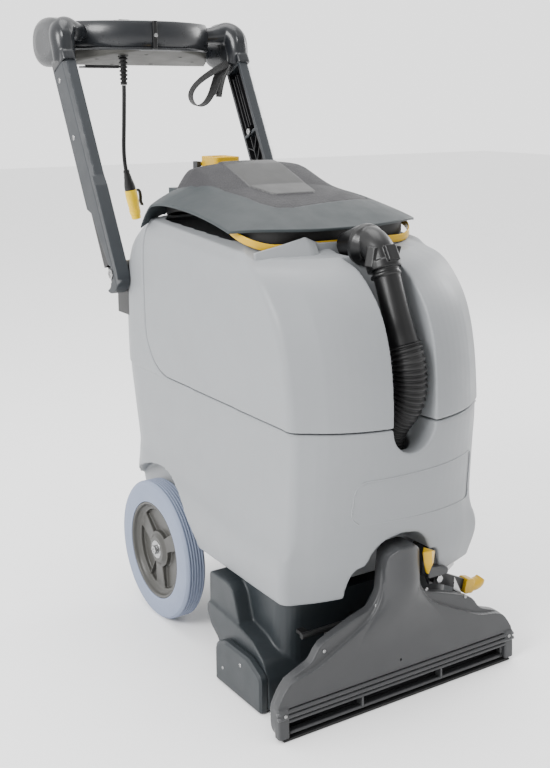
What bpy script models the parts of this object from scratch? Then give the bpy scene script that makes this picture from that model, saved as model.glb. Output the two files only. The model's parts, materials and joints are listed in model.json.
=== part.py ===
"""Upright carpet cleaner: a solution tank on two big wheels, a recovery tank on top of it,
a powered brush under the front and a vacuum shoe ahead of the brush, steered by a tall handle.

Lengths are metres.  X runs across the machine, -Y is the vacuum shoe's side, +Y the handle's,
Z is up.  Everything is placed from the middle of the wheel axle, straight above the floor;
the empty MACHINE then puts the frame's origin under the middle of the footprint.
"""
from math import atan2, cos, hypot, pi, radians, sin, sqrt, tan

import bmesh
import bpy
from mathutils import Matrix, Vector

# ---------------------------------------------------------------- driving dimensions
AXLE_OFFSET = 0.0163            # from the frame's origin back to the axle
GAP = 0.0003                    # between pieces that touch

WHEEL_RADIUS = 0.127            # a 10 inch wheel
WHEEL_WIDTH = 0.040
WHEEL_X = 0.1755                # middle of a wheel
HUB_RADIUS = 0.089
AXLE_RADIUS = 0.0095

PARTING_Z = 0.4535              # where the recovery tank sits on the solution tank
PARTING_BACK_Y = 0.046          # and where it stands against the rear column
PARTING_BEND = 0.085
WALL = 0.005

DECK_HALF_WIDTH = 0.2045
BRUSH_Y, BRUSH_Z = -0.332, 0.0405
BRUSH_RADIUS = 0.0385
MOTOR_Y, MOTOR_Z = -0.262, 0.118
BELT_X = -0.186
MOTOR_PULLEY_RADIUS = 0.011
BRUSH_PULLEY_RADIUS = 0.020

SHOE_Y = -0.476                 # the shoe's front, at its lower rail
SHOE_LEAN = 0.07                # it leans back by this much per metre of height
SHOE_BASE_Z = 0.027
SHOE_DEPTH = 0.022

ARM_FRONT = (0.2995, 1.0)       # top of an arm's front edge, in Y and Z
ARM_SLOPE = (0.463, 0.886)      # unit vector up along an arm, in Y and Z
ARM_DEPTH = 0.058
ARM_LENGTH = 0.455
ARM_X = (0.1755, 0.201)
HANDLE_PIVOT = (0.130, 0.614)   # in Y and Z

CONSOLE_CENTRE_Y = 0.448
CONSOLE_RADIUS = 0.168
CONSOLE_REAR_Y = 0.404
CONSOLE_TOP_Z, CONSOLE_SEAM_Z = 1.062, 1.012

LID_HALF_WIDTH = 0.180
LID_FRONT_Y, LID_REAR_Y = -0.303, 0.043
LID_HINGE = (0.046, 0.7500)     # in Y and Z
EAR_X = 0.090                   # the ears that hold the lid's hinge pin

FILLER_X, FILLER_Y, FILLER_TOP_Z = 0.022, 0.112, 0.797
HOSE_RADIUS = 0.0235
PORT_RADIUS, PORT_Z = 0.0235, 0.699   # where the hose's elbow enters the recovery tank
CORD_RADIUS = 0.004

# ---------------------------------------------------------------- materials
# name: (red, green, blue, roughness, metallic), linear colours
FINISHES = {
    "body_grey": (0.42, 0.44, 0.46, 0.45, 0.0),
    "slate": (0.08, 0.10, 0.11, 0.50, 0.0),
    "dark_grey": (0.055, 0.060, 0.065, 0.55, 0.0),
    "shoe_grey": (0.125, 0.127, 0.130, 0.45, 0.0),
    "smoky": (0.10, 0.10, 0.095, 0.12, 0.0),
    "yellow": (0.72, 0.42, 0.02, 0.40, 0.0),
    "tyre": (0.33, 0.38, 0.50, 0.70, 0.0),
    "hub": (0.13, 0.12, 0.10, 0.45, 0.0),
    "arm": (0.085, 0.10, 0.115, 0.45, 0.0),
    "black": (0.02, 0.02, 0.02, 0.45, 0.0),
    "rubber": (0.025, 0.025, 0.025, 0.70, 0.0),
    "steel": (0.55, 0.55, 0.56, 0.30, 1.0),
    "paint_black": (0.03, 0.03, 0.03, 0.40, 0.6),
    "bristle": (0.03, 0.03, 0.035, 0.80, 0.0),
    "webbing": (0.02, 0.02, 0.02, 0.90, 0.0),
}


def finish(name):
    """The material of this name, made once."""
    material = bpy.data.materials.get(name)
    if material is None:
        red, green, blue, roughness, metallic = FINISHES[name]
        material = bpy.data.materials.new(name)
        material.use_nodes = True
        shader = material.node_tree.nodes["Principled BSDF"]
        shader.inputs["Base Color"].default_value = (red, green, blue, 1.0)
        shader.inputs["Roughness"].default_value = roughness
        shader.inputs["Metallic"].default_value = metallic
    return material


# ---------------------------------------------------------------- modelling helpers
def mesh_object(name, points, faces):
    """A closed mesh with its faces turned outwards."""
    mesh = bpy.data.meshes.new(name)
    mesh.from_pydata([tuple(point) for point in points], [], faces)
    work = bmesh.new()
    work.from_mesh(mesh)
    bmesh.ops.remove_doubles(work, verts=work.verts, dist=1e-6)
    bmesh.ops.dissolve_degenerate(work, edges=work.edges, dist=1e-6)
    bmesh.ops.recalc_face_normals(work, faces=work.faces)
    work.to_mesh(mesh)
    work.free()
    result = bpy.data.objects.new(name, mesh)
    bpy.context.scene.collection.objects.link(result)
    return result


def loft(name, rings):
    """A skin over rings of equally many points, closed at both ends."""
    count = len(rings[0])
    points = [point for ring in rings for point in ring]
    faces = []
    for level in range(len(rings) - 1):
        for i in range(count):
            j = (i + 1) % count
            low, high = level * count, (level + 1) * count
            faces.append((low + i, low + j, high + j, high + i))
    faces.append(tuple(reversed(range(count))))
    faces.append(tuple(range(len(points) - count, len(points))))
    return mesh_object(name, points, faces)


AXES = {
    "x": lambda a, b, t: (t, a, b),
    "y": lambda a, b, t: (a, t, b),
    "z": lambda a, b, t: (a, b, t),
}


def prism(name, outline, axis, low, high):
    """An outline in the two other axes, in X, Y, Z order, drawn out along one axis."""
    place = AXES[axis]
    return loft(name, [[place(a, b, t) for a, b in outline] for t in (low, high)])


def block(name, low, high):
    """A box between two corners."""
    outline = [(low[0], low[1]), (high[0], low[1]), (high[0], high[1]), (low[0], high[1])]
    return prism(name, outline, "z", low[2], high[2])


def circle(a, b, radius, steps):
    return [(a + radius * cos(2 * pi * i / steps),
             b + radius * sin(2 * pi * i / steps)) for i in range(steps)]


def rod(name, axis, centre, radius, low, high, steps=16):
    """A round bar along one axis, about a centre in the two other axes."""
    return prism(name, circle(centre[0], centre[1], radius, steps), axis, low, high)


def turned(name, profile, axis, centre, steps):
    """A profile of (radius, distance along the axis), closed on itself or on the axis, turned about it."""
    place = AXES[axis]
    points, faces, count = [], [], len(profile)
    for i in range(steps):
        angle = 2 * pi * i / steps
        for radius, along in profile:
            points.append(place(centre[0] + radius * cos(angle), centre[1] + radius * sin(angle), along))
    for i in range(steps):
        here, after = i * count, ((i + 1) % steps) * count
        for k in range(count):
            m = (k + 1) % count
            if profile[k][0] > 0 or profile[m][0] > 0:
                faces.append((here + k, here + m, after + m, after + k))
    return mesh_object(name, points, faces)


def rounded(corners, radii, steps=4):
    """A polygon with its corners rounded; a radius of 0 leaves a corner sharp."""
    outline, count = [], len(corners)
    if not hasattr(radii, "__len__"):
        radii = [radii] * count
    for i, corner in enumerate(corners):
        radius = radii[i]
        here = Vector(corner)
        if radius == 0:
            outline.append(tuple(here))
            continue
        before = Vector(corners[i - 1]) - here
        after = Vector(corners[(i + 1) % count]) - here
        half = before.angle(after) / 2
        reach = radius / tan(half)
        centre = here + (before.normalized() + after.normalized()).normalized() * (radius / sin(half))
        start = here + before.normalized() * reach - centre
        turn = start.angle_signed(here + after.normalized() * reach - centre)
        for k in range(steps + 1):
            angle = -turn * k / steps
            spoke = Matrix.Rotation(angle, 2) @ start
            outline.append(tuple(centre + spoke))
    return outline


def combine(target, tool, operation):
    """Applies a Boolean with another object and uses that object up."""
    modifier = target.modifiers.new(operation.lower(), "BOOLEAN")
    modifier.operation = operation
    modifier.solver = "EXACT"
    modifier.object = tool
    bpy.context.view_layer.update()
    evaluated = target.evaluated_get(bpy.context.evaluated_depsgraph_get())
    mesh = bpy.data.meshes.new_from_object(evaluated)
    target.modifiers.remove(modifier)
    old = target.data
    target.data = mesh
    bpy.data.meshes.remove(old)
    bpy.data.objects.remove(tool)
    return target


def cut(target, *tools):
    for tool in tools:
        combine(target, tool, "DIFFERENCE")
    return target


def join(target, *tools):
    for tool in tools:
        combine(target, tool, "UNION")
    return target


def keep_inside(target, tool):
    return combine(target, tool, "INTERSECT")


def smooth_route(route, per_span=6):
    """Points on a Catmull-Rom curve through a route."""
    ends = [Vector(point) for point in route]
    ends = [2 * ends[0] - ends[1]] + ends + [2 * ends[-1] - ends[-2]]
    points = []
    for i in range(1, len(ends) - 2):
        before, start, end, after = ends[i - 1:i + 3]
        for k in range(per_span):
            t = k / per_span
            points.append(0.5 * (2 * start + (end - before) * t
                                 + (2 * before - 5 * start + 4 * end - after) * t * t
                                 + (3 * start - before - 3 * end + after) * t ** 3))
    points.append(ends[-2])
    return points


def tube(name, points, radius, resolution=3):
    """A round tube along points: a curve with a bevel and filled caps."""
    curve = bpy.data.curves.new(name, "CURVE")
    curve.dimensions = "3D"
    curve.bevel_depth = radius
    curve.bevel_resolution = resolution
    curve.use_fill_caps = True
    spline = curve.splines.new("POLY")
    spline.points.add(len(points) - 1)
    for spot, point in zip(spline.points, points):
        spot.co = (*point, 1.0)
    result = bpy.data.objects.new(name, curve)
    bpy.context.scene.collection.objects.link(result)
    return result


def sweep(name, points, radii, steps=16):
    """A closed round skin along points whose radius changes from point to point."""
    points = [Vector(point) for point in points]
    side = Vector((1.0, 0.0, 0.0))
    rings = []
    for i, (point, radius) in enumerate(zip(points, radii)):
        ahead = points[min(i + 1, len(points) - 1)] - points[max(i - 1, 0)]
        ahead.normalize()
        side = (side - ahead * side.dot(ahead)).normalized()
        up = ahead.cross(side)
        rings.append([point + side * (radius * cos(2 * pi * k / steps))
                      + up * (radius * sin(2 * pi * k / steps)) for k in range(steps)])
    return loft(name, rings)


# ---------------------------------------------------------------- frame and pivots
MACHINE = "machine"
made = []


def empty(name, spot, parent=None):
    pivot = bpy.data.objects.new(name, None)
    pivot.location = spot
    pivot.parent = parent
    bpy.context.scene.collection.objects.link(pivot)
    return pivot


def add(piece, material, pivot=None):
    """Gives a piece its material and its place: under the machine, or on a moving pivot."""
    piece.data.materials.clear()
    piece.data.materials.append(finish(material))
    if piece.type == "MESH":
        piece.data.shade_smooth()
        piece.data.set_sharp_from_angle(angle=radians(35))
    made.append((piece, pivot))
    return piece


# ---------------------------------------------------------------- body form
# height, half-width, corner Y, nose Y, rear Y, share of the top's rise and fall
BODY_LEVELS = [
    (0.180, 0.188, -0.413, -0.447, 0.120, 0.0),
    (0.228, 0.197, -0.422, -0.456, 0.135, 0.0),
    (0.262, 0.192, -0.421, -0.461, 0.142, 0.0),
    (0.300, 0.184, -0.420, -0.468, 0.152, 0.0),
    (0.380, 0.182, -0.422, -0.480, 0.172, 0.0),
    (0.452, 0.182, -0.423, -0.487, 0.186, 0.0),
    (0.540, 0.183, -0.410, -0.480, 0.186, 0.0),
    (0.603, 0.184, -0.389, -0.461, 0.179, 0.0),
    (0.645, 0.184, -0.360, -0.434, 0.168, 0.1),
    (0.680, 0.181, -0.325, -0.396, 0.152, 0.5),
    (0.700, 0.170, -0.288, -0.352, 0.130, 1.0),
]
REAR_TAPER = 0.010              # how much narrower the rear is than the front


def rim_height(y):
    """The top of the tanks, which rises and falls along the machine."""
    height = 0.739 - 1.3 * max(0.0, -0.10 - y) ** 2 - 1.6 * max(0.0, y + 0.07) ** 2
    return max(0.690, height)


def body_ring(level, inset=0.0):
    """One level of the tanks' outline, set in by a wall's thickness where wanted."""
    height, half, corner_y, nose_y, rear_y, share = level
    half, corner_y, nose_y, rear_y = half - inset, corner_y + inset, nose_y + inset, rear_y - inset
    rear_half = half - REAR_TAPER
    across = (-0.66, -0.33, 0.0, 0.33, 0.66)
    front = [(half * part, nose_y + (corner_y - nose_y) * abs(part) ** 2.4) for part in across]
    corners = [(-half, corner_y), *front, (half, corner_y), (rear_half, rear_y), (-rear_half, rear_y)]
    radii = [0.036, 0, 0, 0, 0, 0, 0.036, 0.092, 0.092]
    outline = rounded(corners, radii, steps=5)
    return [(x, y, height + share * (rim_height(y) - 0.70)) for x, y in outline]


def body_solid(name, inset=0.0):
    """The outer form of both tanks; a fan of flat triangles closes its curved top."""
    rings = [body_ring(level, inset) for level in BODY_LEVELS]
    count = len(rings[0])
    points = [point for ring in rings for point in ring]
    faces = [tuple(reversed(range(count)))]
    for level in range(len(rings) - 1):
        for i in range(count):
            j = (i + 1) % count
            low, high = level * count, (level + 1) * count
            faces += [(low + i, low + j, high + j), (low + i, high + j, high + i)]
    last = (len(rings) - 1) * count
    points.append((0.0, -0.10, 0.739))
    faces += [(last + i, last + (i + 1) % count, len(points) - 1) for i in range(count)]
    return mesh_object(name, points, faces)


def parting_outline(gap, top):
    """The recovery tank's side of the parting line, in Y and Z."""
    corners = [(-0.60, PARTING_Z + gap), (PARTING_BACK_Y - gap, PARTING_Z + gap),
               (PARTING_BACK_Y - gap, top), (-0.60, top)]
    return rounded(corners, [0, PARTING_BEND, 0, 0], steps=6)


def channel_cutter(name, half, foot, floor_shift):
    """The hose channel in the front: a U with a floor that leans like the front does."""
    outline = [(-half, 0.80), *[(half * cos(a), foot + half * sin(a))
                                for a in [pi + pi * i / 10 for i in range(11)]], (half, 0.80)]
    front = [(x, -0.60, z) for x, z in outline]
    floor = [(x, -0.432 + floor_shift + 0.33 * (z - 0.44), z) for x, z in outline]
    return loft(name, [front, floor])


def wheel_well(name, side):
    """The arch over a wheel, with the run-out ahead of it."""
    arch = [(0.157 * cos(a), WHEEL_RADIUS + 0.157 * sin(a)) for a in [radians(12 * i) for i in range(14)]]
    outline = [(0.30, 0.10), (0.30, 0.235), (0.115, 0.235), *arch[4:], (-0.196, 0.150), (-0.245, 0.100)]
    return prism(name, outline, "x", *sorted((side * 0.150, side * 0.30)))


def shoe_arch(name):
    """The opening in the lower front that the shoe's neck stands in."""
    right = [(0.104, 0.160), (0.100, 0.205), (0.086, 0.231), (0.066, 0.232), (0.054, 0.252),
             (0.030, 0.268), (0.010, 0.271)]
    outline = right + [(-x, z) for x, z in reversed(right)]
    return prism(name, outline, "y", -0.60, -0.385)


# ---------------------------------------------------------------- tanks
def build_solution_tank():
    tank = body_solid("solution_tank")
    cut(tank, prism("c", parting_outline(0.0, 0.90), "x", -0.3, 0.3))
    water = body_solid("c", WALL)
    keep_inside(water, prism("c", rounded(
        [(-0.46, 0.300), (0.20, 0.300), (0.20, 0.680), (PARTING_BACK_Y + 0.008, 0.680),
         (PARTING_BACK_Y + 0.008, PARTING_Z - 0.008), (-0.46, PARTING_Z - 0.008)],
        [0, 0, 0, 0, 0.09, 0], steps=5), "x", -0.17, 0.17))
    cut(water, block("c", (-0.050, -0.60, 0.29), (0.050, -0.395, 0.60)))
    cut(tank, water)
    cut(tank, block("c", (-0.128, -0.350, 0.15), (0.128, 0.085, 0.290)))
    cut(tank, shoe_arch("c"), channel_cutter("c", 0.039, 0.449, 0.0))
    cut(tank, rod("c", "z", (0.0, -0.438), 0.029, 0.20, 0.47, 20))
    cut(tank, wheel_well("c", 1), wheel_well("c", -1))
    label = rounded([(-0.094, 0.296), (0.097, 0.296), (0.097, 0.379), (-0.094, 0.379)],
                    [0.030, 0.008, 0.008, 0.030], steps=4)
    recess = prism("c", label, "y", -0.60, -0.40)
    keep_inside(recess, label_skin())
    cut(tank, recess)
    cut(tank, rod("c", "z", (FILLER_X, FILLER_Y), 0.021, 0.60, 0.80, 20))
    add(tank, "body_grey")


def label_skin():
    """A thin layer just under the front's surface, for the plain recess of the label."""
    rings = []
    for height, nose in ((0.28, -0.4662), (0.34, -0.4742), (0.40, -0.4825)):
        outline = []
        for depth in (0.03, -0.0012):
            row = [(0.20 * part, nose - depth + 0.06 * abs(part) ** 2.4) for part in
                   (-0.6, -0.3, 0.0, 0.3, 0.6)]
            outline += row if depth > 0 else reversed(row)
        rings.append([(x, y, height) for x, y in outline])
    return loft("c", rings)


def seal_outline(out):
    return rounded([(-0.160 + out, -0.275 + out), (0.160 - out, -0.275 + out),
                    (0.160 - out, 0.028 - out), (-0.160 + out, 0.028 - out)], [0.05, 0.05, 0.02,
                                                                               0.02], steps=4)


def seal_seat():
    """The space over the ledge that the lid's seal lies on."""
    outline = seal_outline(-0.003)
    count = len(outline)
    points = [(x, y, rim_height(y) + 0.002) for x, y in outline] + [(x, y, 0.90) for x, y in outline]
    points.append((0.0, -0.12, 0.735))
    faces = [(i, (i + 1) % count, 2 * count) for i in range(count)]
    faces += [(i, (i + 1) % count, count + (i + 1) % count, count + i) for i in range(count)]
    faces.append(tuple(range(count, 2 * count)))
    return mesh_object("c", points, faces)


def build_recovery_tank():
    tank = body_solid("recovery_tank")
    keep_inside(tank, prism("c", parting_outline(GAP * 2, 0.90), "x", -0.3, 0.3))
    bowl = body_solid("c", WALL + 0.001)
    bowl.data.transform(Matrix.Translation((0.0, 0.0, -0.006)))
    keep_inside(bowl, prism("c", rounded(
        [(-0.60, PARTING_Z + 0.008), (PARTING_BACK_Y - 0.008, PARTING_Z + 0.008),
         (PARTING_BACK_Y - 0.008, 0.80), (-0.60, 0.80)], [0, PARTING_BEND - 0.008, 0, 0], steps=6),
        "x", -0.3, 0.3))
    cut(bowl, channel_cutter("c", 0.044, 0.449, 0.006))
    mouth = prism("c", rounded([(-0.150, -0.262), (0.150, -0.262), (0.150, 0.018), (-0.150, 0.018)],
                               [0.05, 0.05, 0.02, 0.02], steps=4), "z", 0.60, 0.80)
    cut(tank, seal_seat(), channel_cutter("c", 0.039, 0.449, 0.0), bowl, mouth)
    port = [(PORT_RADIUS * cos(a),
             PORT_Z + PORT_RADIUS * sin(a)) for a in [pi + pi * i / 12 for i in range(13)]]
    cut(tank, prism("c", [(-PORT_RADIUS, 0.80), *port, (PORT_RADIUS, 0.80)], "y", -0.42, -0.25))
    add(tank, "body_grey")


# ---------------------------------------------------------------- lid
def lid_height(x, y):
    """The lid's upper surface: a low crown with a dome on it."""
    base = 0.752 + 0.033 * (1 - (x / 0.182) ** 2)
    base -= 2.3 * max(0.0, -0.15 - y) ** 2 + 1.8 * max(0.0, y + 0.07) ** 2
    swell = max(0.0, 1 - (x / 0.090) ** 2 - ((y + 0.115) / 0.150) ** 2)
    return base + 0.036 * swell * (2 - swell)


def lid_front(part):
    return LID_FRONT_Y + 0.050 * abs(part) ** 2.6


LID_COLUMNS, LID_ROWS = 14, 10


def lid_shell(name, thickness):
    """The lid as a sheet of even thickness over the tanks' opening."""
    top, under = [], []
    for j in range(LID_ROWS + 1):
        for i in range(LID_COLUMNS + 1):
            part = 2 * i / LID_COLUMNS - 1
            front = lid_front(part)
            x = LID_HALF_WIDTH * part
            y = front + (LID_REAR_Y - front) * j / LID_ROWS
            top.append((x, y, lid_height(x, y)))
            under.append((x, y, lid_height(x, y) - thickness))
    points, faces = top + under, []
    wide, count = LID_COLUMNS + 1, len(top)
    for j in range(LID_ROWS):
        for i in range(LID_COLUMNS):
            a = j * wide + i
            quad = (a, a + 1, a + 1 + wide, a + wide)
            faces.append(quad)
            faces.append(tuple(reversed([count + k for k in quad])))
    border = [*range(wide), *[j * wide + LID_COLUMNS for j in range(1, LID_ROWS + 1)],
              *[LID_ROWS * wide + i for i in range(LID_COLUMNS - 1, -1, -1)],
              *[j * wide for j in range(LID_ROWS - 1, 0, -1)]]
    for here, after in zip(border, border[1:] + border[:1]):
        faces.append((here, after, count + after, count + here))
    return mesh_object(name, points, faces)


def window_outline(grow):
    corners = [(-0.060 - grow, -0.215 - grow), (0.060 + grow, -0.215 - grow),
               (0.066 + grow, -0.035 + grow), (-0.066 - grow, -0.035 + grow)]
    return rounded(corners, [0.03, 0.03, 0.02, 0.02], steps=4)


def build_lid(pivot):
    lid = lid_shell("tank_lid", 0.0045)
    cut(lid, prism("c", window_outline(GAP), "z", 0.70, 0.90))
    knuckles = [rod("c", "x", LID_HINGE, 0.006, x - 0.012, x + 0.012, 12) for x in (-0.11, 0.11)]
    webs = [block("c", (x - 0.012, 0.030, 0.7495), (x + 0.012, LID_HINGE[0], 0.7555)) for x in (-0.11,
                                                                                                0.11)]
    for x in (-EAR_X, EAR_X):
        cut(lid, rod("c", "x", LID_HINGE, 0.0125, x - 0.0065, x + 0.0065, 16))
    for web, knuckle in zip(webs, knuckles):
        join(web, knuckle)
        join(lid, web)
    cut(lid, rod("c", "x", LID_HINGE, 0.0033, -0.2, 0.2, 12))
    add(lid, "slate", pivot)

    window = lid_shell("lid_window", 0.0035)
    keep_inside(window, prism("c", window_outline(0.0), "z", 0.70, 0.90))
    add(window, "smoky", pivot)

    pin = rod("lid_hinge_pin", "x", LID_HINGE, 0.003, -0.130, 0.130, 10)
    add(pin, "steel")

    bracket = block("lid_hinge_bracket", (-EAR_X, 0.0468, 0.6700), (EAR_X, 0.0580, 0.7440))
    body = body_solid("c", -GAP)
    cut(bracket, body)
    for x in (-EAR_X, EAR_X):
        ear = prism("c", [(0.0410, 0.7360), (0.0580, 0.7360), (0.0580, 0.7470), (0.0520, 0.7555),
                          (0.0410, 0.7555)], "x", x - 0.005, x + 0.005)
        join(bracket, ear)
    cut(bracket, rod("c", "x", LID_HINGE, 0.0068, -0.084, 0.084, 12))
    cut(bracket, rod("c", "x", LID_HINGE, 0.0033, -0.2, 0.2, 12))
    add(bracket, "dark_grey")

    rings = []
    for out, lift in ((0.0, 0.0), (0.0, 0.006), (0.008, 0.006), (0.008, 0.0)):
        rings.append([(x, y, rim_height(y) + 0.0026 + lift) for x, y in seal_outline(out)])
    count = len(rings[0])
    points = [point for ring in rings for point in ring]
    faces = [(a * count + i, a * count + (i + 1) % count, ((a + 1) % 4) * count + (i + 1) % count,
              ((a + 1) % 4) * count + i) for a in range(4) for i in range(count)]
    seal = mesh_object("lid_seal", points, faces)
    cut(seal, block("c", (-0.027, -0.30, 0.60), (0.027, -0.20, 0.80)))
    add(seal, "yellow")


def build_filler(pivot):
    low = FILLER_X - 0.058, FILLER_Y - 0.034
    high = FILLER_X + 0.032, FILLER_Y + 0.026
    neck = prism("filler_neck", rounded([low, (high[0], low[1]), high, (low[0], high[1])], 0.010, 3),
                 "z", 0.640, FILLER_TOP_Z - 0.010)
    join(neck, rod("c", "z", (FILLER_X, FILLER_Y), 0.0258, FILLER_TOP_Z - 0.012, FILLER_TOP_Z - 0.001, 20))
    cut(neck, rod("c", "z", (FILLER_X, FILLER_Y), 0.0215, 0.60, 0.90, 20))
    body = body_solid("c", -GAP)
    cut(body, block("c", (-0.3, -0.7, 0.0), (0.3, 0.0, 1.0)))
    cut(neck, body)
    hinge_z = FILLER_TOP_Z + 0.004
    ears = [block("c", (x - 0.004, FILLER_Y + 0.0262, FILLER_TOP_Z - 0.030),
                  (x + 0.004, FILLER_Y + 0.0420, hinge_z + 0.005)) for x in (FILLER_X - 0.0310,
                                                                             FILLER_X + 0.0310)]
    for ear in ears:
        join(ear, block("c", (ear.bound_box[0][0], FILLER_Y + 0.020, FILLER_TOP_Z - 0.030),
                        (ear.bound_box[6][0], FILLER_Y + 0.0262 + GAP, FILLER_TOP_Z - 0.011)))
        join(neck, ear)
    join(neck, rod("c", "x", (FILLER_Y + 0.036, hinge_z), 0.002, FILLER_X - 0.034, FILLER_X + 0.034, 8))
    add(neck, "dark_grey")
    cap = prism("filler_cap", rounded(
        [(FILLER_X - 0.026, FILLER_Y - 0.028), (FILLER_X + 0.026, FILLER_Y - 0.028),
         (FILLER_X + 0.026, FILLER_Y + 0.030), (FILLER_X - 0.026, FILLER_Y + 0.030)], 0.007, 3),
        "z", FILLER_TOP_Z, FILLER_TOP_Z + 0.019)
    join(cap, rod("c", "x", (FILLER_Y + 0.036, hinge_z), 0.0045, FILLER_X - 0.023, FILLER_X + 0.023, 12))
    join(cap, block("c", (FILLER_X - 0.023, FILLER_Y + 0.020, hinge_z - 0.0035),
                    (FILLER_X + 0.023, FILLER_Y + 0.036, hinge_z + 0.0035)))
    cut(cap, rod("c", "x", (FILLER_Y + 0.036, hinge_z), 0.0023, -0.2, 0.2, 10))
    add(cap, "yellow", pivot)


def build_float(pivot):
    """The shut-off float: a cage at the suction port and the ball that closes it."""
    spot = (-0.055, -0.12)
    cage = turned("float_cage", [(0.026, 0.560), (0.032, 0.560), (0.032, 0.655), (0.012, 0.655),
                                 (0.012, 0.650), (0.026, 0.650)], "z", spot, 16)
    for k in range(3):
        slot = block("c", (0.010, -0.011, 0.568), (0.050, 0.011, 0.640))
        slot.data.transform(Matrix.Translation((*spot, 0)) @ Matrix.Rotation(2 * pi * k / 3, 4, "Z"))
        cut(cage, slot)
    stem = block("c", (spot[0] - 0.006, spot[1] - 0.031, 0.4625), (spot[0] + 0.006, spot[1] - 0.0262,
                                                                   0.562))
    join(cage, stem)
    add(cage, "dark_grey")
    middle = [(0.0215 * sin(pi * i / 6), 0.590 - 0.0215 * cos(pi * i / 6)) for i in range(1, 6)]
    ball = [(0.0, 0.590 - 0.0215), *middle, (0.0, 0.590 + 0.0215)]
    add(turned("float_ball", ball, "z", spot, 12), "yellow", pivot)


# ---------------------------------------------------------------- hose in the front channel
def hose_rings(route, low, high, pitch, radius, depth):
    """Points and radii of a corrugated stretch between two shares of a route."""
    points = smooth_route(route, 24)
    chosen = points[int(low * (len(points) - 1)):int(high * (len(points) - 1)) + 1]
    lengths = [0.0]
    for before, after in zip(chosen, chosen[1:]):
        lengths.append(lengths[-1] + (after - before).length)
    total, spots, radii = lengths[-1], [], []
    steps = 2 * int(total / pitch)
    for k in range(steps + 1):
        at = total * k / steps
        i = max(j for j in range(len(lengths)) if lengths[j] <= at + 1e-9)
        i = min(i, len(chosen) - 2)
        share = (at - lengths[i]) / max(1e-9, lengths[i + 1] - lengths[i])
        spots.append(chosen[i].lerp(chosen[i + 1], share))
        radii.append(radius - depth * (k % 2))
    return spots, radii


HOSE_ROUTE = [(0, -0.4363, 0.5993), (0, -0.4440, 0.5780), (0, -0.4560, 0.5300), (0, -0.4570, 0.4900),
              (0, -0.4545, 0.4550), (0, -0.4440, 0.4250), (0, -0.4390, 0.4000), (0, -0.4380, 0.3750)]


# spots and radii of the smooth tube and of the elbow that goes back over the tank's front edge
ELBOW = [((0, -0.4360, 0.6000), 0.0215), ((0, -0.4230, 0.6330), 0.0205), ((0, -0.4055, 0.6720), 0.0205),
         ((0, -0.4050, 0.6730), 0.0245), ((0, -0.3980, 0.6880), 0.0250), ((0, -0.3860, 0.7020), 0.0250),
         ((0, -0.3690, 0.7110), 0.0250), ((0, -0.3500, 0.7120), 0.0240), ((0, -0.3320, 0.7060), 0.0230),
         ((0, -0.3100, 0.7000), 0.0215), ((0, -0.2580, 0.6980), 0.0210)]


def build_hose():
    spots, radii = hose_rings(HOSE_ROUTE, 0.0, 1.0, 0.0150, HOSE_RADIUS, 0.003)
    add(sweep("vacuum_hose", spots, radii, 12), "rubber")
    add(sweep("hose_elbow", [spot for spot, _ in ELBOW], [radius for _, radius in ELBOW], 18), "black")


# ---------------------------------------------------------------- vacuum shoe
def shoe_outline(shrink=0.0, low=0.0035):
    """The shoe seen from the front, in X and Z: a wide foot, sloping shoulders and a neck."""
    right = [(0.2315, low), (0.2360, 0.030), (0.2330, 0.054), (0.2120, 0.088), (0.1650, 0.108),
             (0.1480, 0.130), (0.0900, 0.152), (0.0560, 0.162), (0.0380, 0.186), (0.0335, 0.226),
             (0.0300, 0.247), (0.0170, 0.259)]
    outline = right + [(-x, z) for x, z in reversed(right)]
    if shrink:
        outline = [(x - shrink * (1 if x > 0 else -1), z - shrink) for x, z in outline]
    return outline


def lean(piece):
    """Leans a piece back about the shoe's lower rail."""
    for vertex in piece.data.vertices:
        vertex.co.y += SHOE_LEAN * (vertex.co.z - SHOE_BASE_Z)
    return piece


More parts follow.
